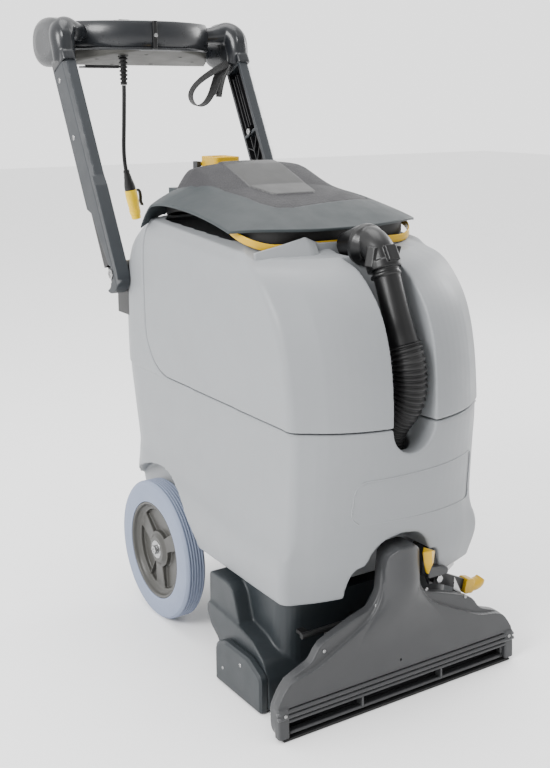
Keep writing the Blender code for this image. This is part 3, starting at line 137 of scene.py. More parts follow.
def loft(rings, ends=True):
    """A skin over rings of equally many points, with a fan at each end."""
    count = len(rings[0])
    points = [Vector(point) for ring in rings for point in ring]
    faces = []
    for level in range(len(rings) - 1):
        for i in range(count):
            j = (i + 1) % count
            low, high = level * count, (level + 1) * count
            faces.append((low + i, low + j, high + j, high + i))
    if ends:
        for first in (0, len(rings) - 1):
            ring = points[first * count:first * count + count]
            points.append(sum(ring, Vector()) / count)
            faces += [(first * count + i, first * count + (i + 1) % count, len(points) - 1)
                for i in range(count)]
    return mesh_object("solid", points, faces)


AXES = {"x": lambda a, b, t: (t, a, b), "y": lambda a, b, t: (a, t, b), "z": lambda a, b, t: (a, b, t)}


def prism(outline, axis, low, high):
    """An outline drawn out between two places on an axis, given in either order."""
    place = AXES[axis]
    low, high = sorted((low, high))
    count = len(outline)
    points = [place(a, b, low) for a, b in outline] + [place(a, b, high) for a, b in outline]
    faces = [(i, (i + 1) % count, count + (i + 1) % count, count + i) for i in range(count)]
    faces += [tuple(range(count)), tuple(range(count, 2 * count))]
    return mesh_object("solid", points, faces)


def block(low, high, radius=0.0):
    corners = [(low[0], low[1]), (high[0], low[1]), (high[0], high[1]), (low[0], high[1])]
    return prism(rounded(corners, radius) if radius else corners, "z", low[2], high[2])


def arc(a, b, radius, start, end, steps):
    """Points round a centre (a, b) from one angle to another, both included."""
    angles = [start + (end - start) * i / steps for i in range(steps + 1)]
    return [(a + radius * cos(angle), b + radius * sin(angle)) for angle in angles]


def circle(a, b, radius, steps=32):
    return arc(a, b, radius, 0.0, 2 * pi, steps)[:-1]


def rod(axis, centre, radius, low, high, steps=40):
    return prism(circle(*centre, radius, steps), axis, low, high)


def turned(profile, axis, centre, steps=64):
    """A closed profile of (radius, distance along the axis) turned about the axis."""
    place = AXES[axis]
    points, faces, count = [], [], len(profile)
    for i in range(steps):
        angle = 2 * pi * i / steps
        points += [place(centre[0] + r * cos(angle), centre[1] + r * sin(angle), t) for r, t in profile]
    for i in range(steps):
        here, after = i * count, ((i + 1) % steps) * count
        for k in range(count):
            m = (k + 1) % count
            if profile[k][0] > 0 or profile[m][0] > 0:
                faces.append((here + k, here + m, after + m, after + k))
    return mesh_object("solid", points, faces)


def rounded(corners, radii, steps=6):
    """A polygon with its corners rounded; a radius of 0 leaves a corner sharp."""
    outline, count = [], len(corners)
    if not hasattr(radii, "__len__"):
        radii = [radii] * count
    for i, corner in enumerate(corners):
        radius, here = radii[i], Vector(corner)
        if radius == 0:
            outline.append(tuple(here))
            continue
        before = Vector(corners[i - 1]) - here
        after = Vector(corners[(i + 1) % count]) - here
        half = before.angle(after) / 2
        reach = radius / tan(half)
        centre = here + (before.normalized() + after.normalized()).normalized() * (radius / sin(half))
        start = here + before.normalized() * reach - centre
        turn = start.angle_signed(here + after.normalized() * reach - centre)
        for k in range(steps + 1):
            outline.append(tuple(centre + Matrix.Rotation(-turn * k / steps, 2) @ start))
    return outline


def curve_points(route, per_span=8):
    """Points on a Catmull-Rom curve through a route of tuples of any length."""
    ends = [Vector(point) for point in route]
    ends = [2 * ends[0] - ends[1]] + ends + [2 * ends[-1] - ends[-2]]
    points = []
    for i in range(1, len(ends) - 2):
        before, start, end, after = ends[i - 1:i + 3]
        for k in range(per_span):
            t = k / per_span
            points.append(0.5 * (2 * start + (end - before) * t + (2 * before - 5 * start + 4 * end - after)
                * t * t + (3 * start - before - 3 * end + after) * t ** 3))
    points.append(ends[-2])
    return points


def even(points, pitch):
    """The same line with a point every pitch."""
    out, left = [points[0]], pitch
    for a, b in zip(points, points[1:]):
        span = (b - a).length
        while span >= left and span > 0:
            a = a.lerp(b, left / span)
            out.append(a)
            span, left = (b - a).length, pitch
        left -= span
    if (out[-1] - points[-1]).length > pitch * 0.3:
        out.append(points[-1])
    return out


def sweep(points, radii, steps=32):
    """A round skin along points, with one radius or one for each."""
    points = [Vector(point) for point in points]
    if not hasattr(radii, "__len__"):
        radii = [radii] * len(points)
    side = Vector((1.0, 0.0, 0.0))
    if abs((points[1] - points[0]).normalized().x) > 0.9:
        side = Vector((0.0, 1.0, 0.0))
    rings = []
    for i, (point, radius) in enumerate(zip(points, radii)):
        ahead = (points[min(i + 1, len(points) - 1)] - points[max(i - 1, 0)]).normalized()
        side = (side - ahead * side.dot(ahead)).normalized()
        up = ahead.cross(side)
        rings.append([point + side * (radius * cos(2 * pi * k / steps)) + up
            * (radius * sin(2 * pi * k / steps)) for k in range(steps)])
    return loft(rings)


def tapered(stations, per_span, steps):
    """A round skin through stations of (x, y, z, radius)."""
    line = curve_points(stations, per_span)
    return sweep([station[:3] for station in line], [station[3] for station in line], steps)


def ball(centre, radii):
    """An ellipsoid."""
    work = bmesh.new()
    bmesh.ops.create_uvsphere(work, u_segments=32, v_segments=20, radius=1.0)
    bmesh.ops.scale(work, vec=radii, verts=work.verts)
    bmesh.ops.translate(work, vec=centre, verts=work.verts)
    mesh = bpy.data.meshes.new("solid")
    work.to_mesh(mesh)
    work.free()
    result = bpy.data.objects.new("solid", mesh)
    SCENE.objects.link(result)
    return result


def grid_sheet(name, columns, rows, place):
    points = [place(i / columns, j / rows) for j in range(rows + 1) for i in range(columns + 1)]
    wide = columns + 1
    faces = [(j * wide + i, j * wide + i + 1, (j + 1) * wide + i + 1, (j + 1) * wide + i)
        for j in range(rows) for i in range(columns)]
    return mesh_object(name, points, faces, tidy=False)


def applied(piece):
    """Turns a piece's modifiers into its mesh."""
    bpy.context.view_layer.update()
    evaluated = piece.evaluated_get(bpy.context.evaluated_depsgraph_get())
    mesh = bpy.data.meshes.new_from_object(evaluated)
    piece.modifiers.clear()
    piece.data = mesh
    return piece


def boolean(target, tools, operation):
    for tool in tools:
        modifier = target.modifiers.new("b", "BOOLEAN")
        modifier.operation, modifier.solver, modifier.object = operation, "EXACT", tool
        applied(target)
        bpy.data.objects.remove(tool)
    return target


def cut(target, *tools):
    return boolean(target, tools, "DIFFERENCE")


def keep_inside(target, *tools):
    return boolean(target, tools, "INTERSECT")


def gather(first, *others):
    """Puts several closed meshes into one object, for moulded() to fuse or as a group of fasteners."""
    work = bmesh.new()
    for piece in (first, *others):
        work.from_mesh(piece.data)
    work.to_mesh(first.data)
    work.free()
    for piece in others:
        bpy.data.objects.remove(piece)
    return first


def moved(piece, change):
    for vertex in piece.data.vertices:
        vertex.co = change(vertex.co)
    return piece


def moulded(piece, voxel, rounds=4, change=None, after=0):
    """Skins a solid with an even mesh and relaxes it, which rounds its edges as a mould does."""
    skin = piece.modifiers.new("skin", "REMESH")
    skin.mode, skin.voxel_size = "VOXEL", voxel
    if rounds:
        relax = piece.modifiers.new("relax", "SMOOTH")
        relax.factor, relax.iterations = 0.5, rounds
    applied(piece)
    if change:
        moved(piece, change)
        if after:
            relax = piece.modifiers.new("relax", "SMOOTH")
            relax.factor, relax.iterations = 0.5, after
            applied(piece)
    return piece


def bevelled(piece, width, segments=3, angle=32):
    bevel = piece.modifiers.new("bevel", "BEVEL")
    bevel.width, bevel.segments = width, segments
    bevel.limit_method, bevel.angle_limit = "ANGLE", radians(angle)
    return applied(piece)


def add(piece, name, body, finishes, replaces=(), sharp=None):
    """Names a finished piece, moves it into the row frame and hangs it on its CAD body."""
    piece.name = name
    piece.data.transform(Matrix.Translation((0.0, AXLE_Y, 0.0)))
    if not isinstance(finishes, (list, tuple)):
        finishes = [finishes]
    kept = [polygon.material_index for polygon in piece.data.polygons] if len(finishes) > 1 else None
    piece.data.materials.clear()
    for one in finishes:
        piece.data.materials.append(one)
    if kept:
        piece.data.polygons.foreach_set("material_index", kept)
    piece.data.shade_smooth()
    if sharp:
        piece.data.set_sharp_from_angle(angle=radians(sharp))
    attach(piece, body)
    if replaces:
        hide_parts(*([replaces] if isinstance(replaces, str) else replaces))
    return piece


# ---- materials
MIX_A, MIX_B, MIX_RESULT = 6, 7, 2   # a Mix node's colour sockets


def feed(tree, node, values):
    """Sets a node's sockets, each to a value or to a link from another node's socket."""
    for socket, value in values.items():
        if isinstance(value, bpy.types.NodeSocket):
            tree.links.new(value, node.inputs[socket])
        else:
            node.inputs[socket].default_value = value
    return node


def shader_node(tree, kind, values=None, **settings):
    node = tree.nodes.new("ShaderNode" + kind)
    for setting, value in settings.items():
        setattr(node, setting, value)
    return feed(tree, node, values or {})


def bumped(tree, height, strength, distance):
    values = {"Strength": strength, "Distance": distance, "Height": height}
    return shader_node(tree, "Bump", values).outputs["Normal"]


def material(name, colour, roughness, tone=0.05, grain=0.0, pitch=0.0012, metallic=0.0, coat=0.0, edge_lift=0.0,
        pattern="NOISE", spread=0.05, stretch=(1, 1, 1), sheen=0.0):
    """A Principled finish with uneven tone and gloss, a grain in relief and a lighter colour on sharp convex
    edges.
    """
    made = bpy.data.materials.new(name)
    made.use_nodes = True
    tree = made.node_tree
    spot = shader_node(tree, "TexCoord").outputs["Object"]

    def noise_at(scale, detail=3.0, squeeze=None):
        source = spot
        if squeeze:
            source = shader_node(tree, "Mapping", {"Scale": squeeze, "Vector": spot}).outputs["Vector"]
        return shader_node(tree, "TexNoise", {"Scale": scale, "Detail": detail,
            "Vector": source}).outputs["Fac"]

    def between(fac, low, high, start=0.3, end=0.7):
        limits = {"Value": fac, "From Min": start, "From Max": end, "To Min": low, "To Max": high}
        return shader_node(tree, "MapRange", limits).outputs["Result"]

    def blended(fac, first, second):
        ends = [value if isinstance(value, bpy.types.NodeSocket) else (*value, 1.0)
            for value in (first, second)]
        mixed = {"Factor": fac, MIX_A: ends[0], MIX_B: ends[1]}
        return shader_node(tree, "Mix", mixed, data_type="RGBA").outputs[MIX_RESULT]

    low, high, middle = [[c * part for c in colour] for part in (1 - tone, 1 + tone, 1 + tone * 0.6)]
    shade = blended(between(noise_at(14.0), 0.0, 1.0), low, high)
    shade = blended(between(noise_at(90.0, 4.0), 0.0, 0.5), shade, middle)
    # Sharp convex edges, found by Pointiness, are mixed towards a lighter colour, 1.5 times the base plus a
    # little.
    if edge_lift:
        edge = shader_node(tree, "NewGeometry").outputs["Pointiness"]
        shade = blended(between(edge, 0.0, edge_lift, 0.52, 0.6), shade,
            [min(1.0, c * 1.5 + 0.02) for c in colour])
    gloss = between(noise_at(30.0, 4.0), max(0.02, roughness - spread), min(1.0, roughness + spread))
    finish = {"Base Color": shade, "Roughness": gloss, "Metallic": metallic, "Coat Weight": coat,
        "Coat Roughness": 0.15, "Sheen Weight": sheen, "Specular IOR Level": 0.38}
    if grain:
        if pattern == "CELLS":
            relief = shader_node(tree, "TexVoronoi",
                {"Scale": 1.0 / pitch, "Vector": spot}).outputs["Distance"]
        elif pattern == "BRUSHED":
            relief = noise_at(1.0 / pitch, 2.0, stretch)
        else:
            relief = noise_at(1.0 / pitch)
        finish["Normal"] = bumped(tree, relief, grain, pitch * 0.3)
    feed(tree, tree.nodes["Principled BSDF"], finish)
    return made


def weave(name, colour, pitch):
    """Woven webbing: two crossing waves in relief."""
    made = material(name, colour, 0.85, tone=0.2, sheen=0.3)
    tree = made.node_tree
    spot = shader_node(tree, "TexCoord").outputs["Object"]
    values = {"Scale": 0.31 / pitch, "Distortion": 1.0, "Vector": spot}
    waves = [shader_node(tree, "TexWave", values, bands_direction=axis).outputs["Fac"] for axis in "XZ"]
    product = shader_node(tree, "Math", {0: waves[0], 1: waves[1]}, operation="MULTIPLY").outputs["Value"]
    feed(tree, tree.nodes["Principled BSDF"], {"Normal": bumped(tree, product, 0.8, pitch * 0.4)})
    return made


BODY = material("rotomoulded_grey", (0.232, 0.242, 0.252), 0.42, tone=0.025, grain=0.1, pitch=0.0011,
    edge_lift=0.35, spread=0.04)
SLATE = material("lid_slate", (0.021, 0.0275, 0.03), 0.5, tone=0.06, grain=0.25, pitch=0.0012, edge_lift=0.3)
LEATHER = material("lid_leather_grain", (0.022, 0.0215, 0.024), 0.62, tone=0.1, grain=0.75, pitch=0.0032,
    pattern="CELLS", edge_lift=0.15)
SMOKY = material("smoky_window", (0.02, 0.02, 0.0195), 0.42, tone=0.06, coat=0.1, spread=0.04)
DECK = material("deck_slate", (0.016, 0.02, 0.023), 0.42, tone=0.08, grain=0.22, pitch=0.001, edge_lift=0.35)
DARK = material("dark_grey_plastic", (0.014, 0.015, 0.017), 0.5, tone=0.08, grain=0.2, pitch=0.001,
    edge_lift=0.25)
SHOE = material("shoe_grey_plastic", (0.036, 0.037, 0.039), 0.4, tone=0.06, grain=0.14, pitch=0.001,
    edge_lift=0.4)
ARM = material("arm_grey_plastic", (0.022, 0.0255, 0.0295), 0.45, tone=0.06, grain=0.3, pitch=0.0009,
    edge_lift=0.35)
RIBS = material("rib_black_plastic", (0.003, 0.003, 0.004), 0.4, tone=0.15, grain=0.15, pitch=0.001,
    edge_lift=0.25)
FASCIA = material("fascia_dark_gloss", (0.011, 0.0122, 0.0145), 0.3, tone=0.08, grain=0.1, pitch=0.0009,
    edge_lift=0.25, coat=0.15)
UNDER = material("console_base_grey", (0.05, 0.049, 0.044), 0.55, tone=0.05, grain=0.2, pitch=0.001,
    edge_lift=0.2)
BLACK = material("black_plastic", (0.0045, 0.0045, 0.0048), 0.32, tone=0.15, grain=0.12, pitch=0.001,
    edge_lift=0.3)
RUBBER = material("black_rubber", (0.0058, 0.0058, 0.006), 0.5, tone=0.2, grain=0.25, pitch=0.0008,
    edge_lift=0.25)
AMBER = material("amber_plastic", (0.52, 0.31, 0.001), 0.32, tone=0.1, grain=0.06, pitch=0.0015, edge_lift=0.2,
    coat=0.05)
YELLOW = material("yellow_plastic", (0.76, 0.5, 0.003), 0.38, tone=0.06, grain=0.08, pitch=0.001, edge_lift=0.2)
TYRE = material("tyre_blue_grey", (0.19, 0.222, 0.305), 0.66, tone=0.05, grain=0.25, pitch=0.0009, edge_lift=0.25)
HUB = material("hub_brown_grey", (0.046, 0.045, 0.041), 0.38, tone=0.14, grain=0.2, pitch=0.0012, edge_lift=0.45)
STEEL = material("zinc_steel", (0.36, 0.36, 0.36), 0.28, tone=0.08, metallic=1.0, grain=0.15, pitch=0.0006,
    pattern="BRUSHED", stretch=(1, 6, 1))
PAINT = material("black_paint", (0.008, 0.008, 0.009), 0.42, tone=0.15, grain=0.3, pitch=0.0018, edge_lift=0.3)
BRISTLE = material("bristle_nylon", (0.012, 0.012, 0.014), 0.65, tone=0.4, grain=0.6, pitch=0.0007)
WEBBING = weave("black_webbing", (0.006, 0.006, 0.0062), 0.0016)

# ---- fasteners
def turn_to(direction):
    return Vector(direction).to_track_quat("Z", "Y").to_matrix().to_4x4()


def placed(piece, spot, direction):
    piece.data.transform(Matrix.Translation(Vector(spot)) @ turn_to(direction))
    return piece


def pan_screw(spot, direction, radius=0.0038):
    """A domed screw head with a cross recess."""
    dome = [(radius * sin(a), radius * 0.45 * cos(a)) for a in [pi / 2 * (1 - k / 6) for k in range(7)]]
    head = turned([(0.0, -0.001), (radius, -0.001), *dome[:-1], (0.0, radius * 0.45)], "z", (0.0, 0.0), 24)
    wide, long = radius * 0.16, radius * 0.62
    cut(head, block((-wide, -long, radius * 0.2), (wide, long, 0.01)), block((-long, -wide, radius * 0.2),
        (long, wide, 0.01)))
    return placed(head, spot, direction)


def hex_bolt(spot, direction, radius, height, washer=0.0):
    """A bevelled hexagon head on a washer."""
    head = bevelled(prism(circle(0.0, 0.0, radius, 6), "z", 0.0, height), radius * 0.12, 2, 20)
    dimple = turned([(0.0, height + 0.001), (radius * 0.5, height + 0.001),
        (radius * 0.42, height - radius * 0.12), (0.0, height - radius * 0.12)], "z", (0.0, 0.0), 24)
    cut(head, dimple)
    if washer:
        ring = turned([(0.0, -0.0016), (washer, -0.0016), (washer, -0.0002), (washer - 0.0006, 0.0004),
            (0.0, 0.0004)], "z", (0.0, 0.0), 48)
        gather(head, ring)
    return placed(head, spot, direction)


# ---- tanks
PARTING_Z, PARTING_BACK_Y, PARTING_BEND = 0.4535, 0.046, 0.085
SEAM = 0.0009                   # half of the dark line between the two tanks
# height, half-width, corner Y, nose Y, rear Y, share of the top's rise and fall
BODY_LEVELS = [(0.18, 0.188, -0.413, -0.447, 0.12, 0.0), (0.228, 0.197, -0.422, -0.456, 0.135, 0.0),
    (0.262, 0.192, -0.421, -0.461, 0.142, 0.0), (0.3, 0.184, -0.42, -0.468, 0.152, 0.0),
    (0.38, 0.182, -0.422, -0.48, 0.172, 0.0), (0.452, 0.182, -0.423, -0.487, 0.186, 0.0),
    (0.54, 0.183, -0.41, -0.48, 0.186, 0.0), (0.603, 0.184, -0.389, -0.461, 0.179, 0.0),
    (0.645, 0.184, -0.36, -0.434, 0.168, 0.1), (0.68, 0.181, -0.325, -0.396, 0.152, 0.5),
    (0.7, 0.17, -0.288, -0.352, 0.13, 1.0),]
REAR_TAPER = 0.01


def rim_height(y):
    """The top of the tanks, which rises and falls along the machine."""
    return max(0.69, 0.739 - 1.3 * max(0.0, -0.1 - y) ** 2 - 1.6 * max(0.0, y + 0.07) ** 2)


def body_ring(level, inset=0.0):
    height, half, corner_y, nose_y, rear_y, share = level
    half, corner_y, nose_y, rear_y = half - inset, corner_y + inset, nose_y + inset, rear_y - inset
    rear_half = half - REAR_TAPER
    across = [k / 12 - 1 for k in range(3, 22)]
    front = [(half * part, nose_y + (corner_y - nose_y) * abs(part) ** 2.4) for part in across]
    corners = [(-half, corner_y), *front, (half, corner_y), (rear_half, rear_y), (-rear_half, rear_y)]
    radii = [0.019, *[0] * len(front), 0.019, 0.092, 0.092]
    return [(x, y, height + share * (rim_height(y) - 0.7)) for x, y in rounded(corners, radii, steps=10)]


def body_solid(inset=0.0):
    """The outer form of both tanks, with a gently crowned top."""
    levels = [tuple(level) for level in curve_points(BODY_LEVELS, 5)]
    rings = [body_ring(level, inset) for level in levels]
    top = rings[-1]
    middle = Vector((0.0, -0.1, 0.0))
    for share in (0.86, 0.6, 0.3, 0.06):
        ring = []
        for x, y, _ in top:
            spot = middle + (Vector((x, y, 0.0)) - middle) * share
            ring.append((spot.x, spot.y, rim_height(spot.y) + 0.001 * (1 - share)))
        rings.append(ring)
    return loft(rings)


def parting(gap, top):
    corners = [(-0.6, PARTING_Z + gap), (PARTING_BACK_Y - gap, PARTING_Z + gap), (PARTING_BACK_Y - gap, top),
        (-0.6, top)]
    return rounded(corners, [0, PARTING_BEND, 0, 0], steps=12)


def channel(half, foot, shift):
    """The hose channel in the front: a U with a floor that leans as the front does."""
    outline = [(-half - 0.004, 0.8), *arc(0.0, foot, half, pi, 2 * pi, 24), (half + 0.004, 0.8)]
    front = [(x * 1.12, -0.6, z) for x, z in outline]
    floor = [(x * 0.96, -0.432 + shift + 0.33 * (z - 0.44), z) for x, z in outline]
    return loft([front, floor])


def wheel_well(side):
    arch = arc(0.0, WHEEL_RADIUS, 0.157, 0.0, radians(162), 27)
    outline = [(0.3, 0.1), (0.3, 0.235), (0.115, 0.235), *arch[8:], (-0.196, 0.15), (-0.245, 0.1)]
    return prism(outline, "x", side * 0.15, side * 0.3)


def shoe_arch():
    right = curve_points([(0.096, 0.16), (0.092, 0.2), (0.082, 0.226), (0.063, 0.233), (0.051, 0.254),
        (0.03, 0.27), (0.0, 0.275)], 4)
    outline = [tuple(p) for p in right] + [(-p.x, p.y) for p in reversed(right[:-1])]
    return prism(outline, "y", -0.6, -0.385)


def flank_swell(spot):
    """A soft step that sweeps down the flanks towards the front."""
    line = 0.262 + 0.16 * max(0.0, spot.y + 0.28) ** 1.5
    side = abs(spot.x) - 0.15
    if side > 0 and spot.z < 0.45:
        swell = 0.0048 * min(1.0, side / 0.03) / (1 + exp((line - spot.z) / 0.0035))
        spot.x -= copysign(swell, spot.x)
    return spot


def rim_rings(half, front, floor, top):
    """Rings of an upright strip round the tank's mouth; floor and top give its heights at a point."""
    rear, thick = half - 0.018, 0.003
    outline = rounded([(-half, front), (half, front), (rear, 0.028), (-rear, 0.028)],
        [0.05, 0.05, 0.02, 0.02], 8)
    line = even([Vector((x, y, 0.0)) for x, y in outline + outline[:1]], 0.006)[:-1]
    rings = []
    for i, point in enumerate(line):
        ahead = (line[(i + 1) % len(line)] - line[i - 1]).normalized()
        outer = point + Vector((ahead.y, -ahead.x, 0.0)) * thick
        rings.append([(*outer.xy, floor(point)), (*outer.xy, top(point)), (*point.xy, top(point)),
            (*point.xy, floor(point))])
    return rings


def build_tanks():
    tank = body_solid()
    cut(tank, prism(parting(-SEAM, 0.9), "x", -0.3, 0.3))
    cut(tank, block((-0.128, -0.35, 0.15), (0.128, 0.085, 0.29)))
    cut(tank, shoe_arch(), channel(0.039, 0.449, 0.0), rod("z", (-0.004, -0.43), 0.029, 0.2, 0.47))
    cut(tank, wheel_well(1), wheel_well(-1), rod("z", (0.022, 0.112), 0.021, 0.6, 0.8))
    moulded(tank, 0.0023, 5, flank_swell, 2)
    add(tank, "lower_tank_shell", "chassis", BODY, "solution_tank")

    label = rounded([(-0.098, 0.306), (0.156, 0.294), (0.152, 0.378), (-0.095, 0.376)],
        [0.022, 0.008, 0.008, 0.022], 8)
    levels = [tuple(level) for level in curve_points(BODY_LEVELS, 5)]

    def front_at(x, z):
        level = min(levels, key=lambda one: abs(one[0] - z))
        return level[3] + (level[2] - level[3]) * abs(x / level[1]) ** 2.4
    line = even([Vector((x, 0.0, z)) for x, z in label + label[:1]], 0.004)
    line = [Vector((p.x, front_at(p.x, p.z) + 0.0004, p.z)) for p in line]
    add(sweep(line, 0.0011, 10), "label_recess_edge", "chassis", BODY)

    upper = body_solid()
    keep_inside(upper, prism(parting(SEAM, 0.9), "x", -0.3, 0.3))
    bowl = body_solid(0.006)
    moved(bowl, lambda p: p - Vector((0, 0, 0.006)))
    keep_inside(bowl, prism(rounded([(-0.6, PARTING_Z + 0.008), (PARTING_BACK_Y - 0.008, PARTING_Z + 0.008),
        (PARTING_BACK_Y - 0.008, 0.8), (-0.6, 0.8)], [0, PARTING_BEND - 0.008, 0, 0], steps=12), "x", -0.3,
        0.3))
    cut(bowl, channel(0.045, 0.449, 0.006))
    mouth = prism(rounded([(-0.15, -0.262), (0.15, -0.262), (0.15, 0.018), (-0.15, 0.018)],
        [0.05, 0.05, 0.02, 0.02]), "z", 0.6, 0.8)
    cut(upper, channel(0.039, 0.449, 0.0), bowl, mouth)
    cut(upper, prism([(-0.0235, 0.8), *arc(0.0, 0.699, 0.0235, pi, 2 * pi, 16), (0.0235, 0.8)], "y", -0.42,
        -0.25))
    moulded(upper, 0.0023, 5)
    add(upper, "upper_tank_shell", "chassis", BODY, "recovery_tank")

    rings = rim_rings(0.166, -0.29, lambda p: rim_height(p.y) + 0.0035, lambda p: rim_height(p.y) + 0.0035
        + 0.012 * step_up(-0.22 - p.y, 0.04))
    last = max(i for i, ring in enumerate(rings) if ring[2][1] > -0.215)
    seal = [ring for ring in rings[last + 1:] + rings[:last + 1] if ring[0][1] < -0.215]
    skirt = rim_rings(0.158, -0.279, lambda p: rim_height(p.y), lambda p: lid_height(p.x, p.y) - 0.0065)
    add(bevelled(loft(seal), 0.001, 2, 40), "lid_seal_strip", "chassis", AMBER, "lid_seal",
        sharp=50)
    add(loft(skirt + skirt[:1], ends=False), "lid_gasket_skirt", "lid", RUBBER, sharp=50)
    crest_line = ((-0.162, 0.699, -0.3, 0.68), (-0.115, 0.707, -0.328, 0.66), (-0.07, 0.7165, -0.336, 0.655),
        (-0.052, 0.7085, -0.334, 0.655), (-0.044, 0.706, -0.299, 0.675), (0.07, 0.704, -0.299, 0.685),
        (0.085, 0.688, -0.298, 0.685))
    crest = loft([[(x, -0.2935, low), (x, -0.2935, top), (x, -0.2975, top), (x, foot, low)] for x, top, foot,
        low in crest_line])
    add(moulded(crest, 0.0012, 4), "tank_rim_crest", "chassis", BODY)


# ---- lid
LID_HALF = 0.18
LID_FRONT_Y, LID_REAR_Y = -0.303, 0.043


# the textured panel's edge, from the rear left round the front to the rear right
PANEL_EDGE = [(-0.134, 0.06), (-0.128, -0.02), (-0.124, -0.06), (-0.105, -0.106), (-0.093, -0.155),
    (-0.085, -0.195), (-0.07, -0.218), (-0.045, -0.224), (0.0, -0.217), (0.06, -0.208), (0.11, -0.197),
    (0.146, -0.184), (0.154, -0.16), (0.156, 0.06)]
WINDOW_EDGE = [(-0.056, -0.01), (-0.058, -0.112), (-0.046, -0.16), (-0.036, -0.168), (0.034, -0.168),
    (0.044, -0.16), (0.056, -0.112), (0.054, -0.01)]


def signed_power(value, power):
    return copysign(abs(value) ** power, value)


def step_up(value, wide):
    t = min(1.0, max(0.0, 0.5 + value / wide))
    return t * t * (3 - 2 * t)


def within(x, y, outline):
    """The distance in from a closed outline; below nought outside it."""
    inside, nearest = False, 1.0
    for (ax, ay), (bx, by) in zip(outline, outline[1:] + outline[:1]):
        if (ay > y) != (by > y) and x < ax + (y - ay) * (bx - ax) / (by - ay):
            inside = not inside
        dx, dy = bx - ax, by - ay
        share = min(1.0, max(0.0, ((x - ax) * dx + (y - ay) * dy) / (dx * dx + dy * dy)))
        nearest = min(nearest, hypot(x - ax - share * dx, y - ay - share * dy))
    return nearest if inside else -nearest


def lid_height(x, y):
    """Low wings, a crown that rises to the rear and a raised middle behind the window's front facet."""
    edge = 0.751 - 0.58 * max(0.0, -0.05 - y) ** 2 - 2.0 * max(0.0, y + 0.05) ** 2
    crown = 0.014 + 0.026 * min(1.0, max(0.0, (y + 0.3) / 0.26))
    rise = 0.026 * min(1.0, max(0.0, (y + 0.114) / 0.095))
    height = edge + crown * (1 - abs(x / 0.182) ** 3) + rise * step_up(0.118 - abs(x), 0.03)
    height -= 3.2 * max(0.0, y) ** 1.5
    panel, window = within(x, y, PANEL_EDGE), within(x, y, WINDOW_EDGE)
    height -= 0.0018 * step_up(panel, 0.004) + 0.0014 * exp(-(panel / 0.0018) ** 2)
    height += 0.0024 * step_up(window, 0.004)
    return height


def build_lid():
    columns, rows, thick = 150, 130, 0.0045

    def place(u, v, drop=0.0):
        part = 2 * u - 1
        front = LID_FRONT_Y + 0.05 * abs(part) ** 2.6
        x, y = LID_HALF * part, front + (LID_REAR_Y - front) * v
        return x, y, lid_height(x, y) - drop

    top = [place(i / columns, j / rows) for j in range(rows + 1) for i in range(columns + 1)]
    under = [place(i / columns, j / rows, thick) for j in range(rows + 1) for i in range(columns + 1)]
    wide, count, faces = columns + 1, len(top), []
    for j in range(rows):
        for i in range(columns):
            a = j * wide + i
            quad = (a, a + 1, a + 1 + wide, a + wide)
            faces += [quad, tuple(reversed([count + k for k in quad]))]
    border = [*range(wide), *[j * wide + columns for j in range(1, rows + 1)],
        *[rows * wide + i for i in range(columns - 1, -1, -1)], *[j * wide for j in range(rows - 1, 0, -1)]]
    for here, after in zip(border, border[1:] + border[:1]):
        faces.append((here, after, count + after, count + here))
    lid = mesh_object("solid", top + under, faces)
    for polygon in lid.data.polygons:
        x, y, _ = polygon.center
        if polygon.normal.z > 0.2:
            polygon.material_index = 2 if within(x, y, WINDOW_EDGE) > 0 else int(within(x, y,
                PANEL_EDGE) > 0)
    bevelled(lid, 0.0012, 2, 60)
    cut(lid, rod("z", (0.139, -0.176), 0.0022, 0.7, 0.8, 16))
    add(lid, "lid_cover", "lid", [SLATE, LEATHER, SMOKY], ("tank_lid", "lid_window"), sharp=50)

    hinge = [turned([(0.0033, x - 0.012), (0.006, x - 0.012), (0.006, x + 0.012), (0.0033, x + 0.012)], "x",
        (0.046, 0.75), 32) for x in (-0.11, 0.11)]
    webs = [block((x - 0.012, 0.022, 0.7545), (x + 0.012, 0.0455, 0.77)) for x in (-0.11, 0.11)]
    add(gather(*hinge, *webs), "lid_hinge_knuckles", "lid", SLATE, sharp=40)


# ---- filler
def build_filler():
    x, y, top = 0.022, 0.112, 0.797
    cap = prism(rounded([(x - 0.026, y - 0.028), (x + 0.026, y - 0.028), (x + 0.026, y + 0.03),
        (x - 0.026, y + 0.03)], 0.007), "z", top, top + 0.019)
    rim = prism(rounded([(x - 0.021, y - 0.023), (x + 0.021, y - 0.023), (x + 0.021, y + 0.024),
        (x - 0.021, y + 0.024)], 0.006), "z", top + 0.016, top + 0.03)
    cut(cap, rim)
    gather(cap, rod("x", (y + 0.036, top + 0.004), 0.0045, x - 0.023, x + 0.023),
        block((x - 0.023, y + 0.02, top + 0.0005), (x + 0.023, y + 0.036, top + 0.0075)))
    add(moulded(cap, 0.0009, 3), "filler_flap_cap", "filler_flap", AMBER, "filler_cap")


# ---- hose
HOSE_ROUTE = [(0.0045, -0.448, 0.568), (0.0075, -0.455, 0.545), (0.01, -0.4572, 0.52), (0.01, -0.457, 0.496),
    (0.007, -0.452, 0.474), (0.0015, -0.443, 0.456), (-0.003, -0.435, 0.438), (-0.004, -0.43, 0.415),
    (-0.004, -0.43, 0.39)]
ELBOW = [(0.0045, -0.4485, 0.5665, 0.0225), (0.003, -0.442, 0.583, 0.0222), (0.001, -0.4365, 0.6, 0.0218),
    (0, -0.423, 0.633, 0.0205), (0, -0.4055, 0.672, 0.0205), (0, -0.398, 0.688, 0.023),
    (0, -0.386, 0.702, 0.0245), (0, -0.369, 0.711, 0.0245), (0, -0.35, 0.712, 0.024),
    (0, -0.332, 0.706, 0.023), (0, -0.31, 0.7, 0.0212)]


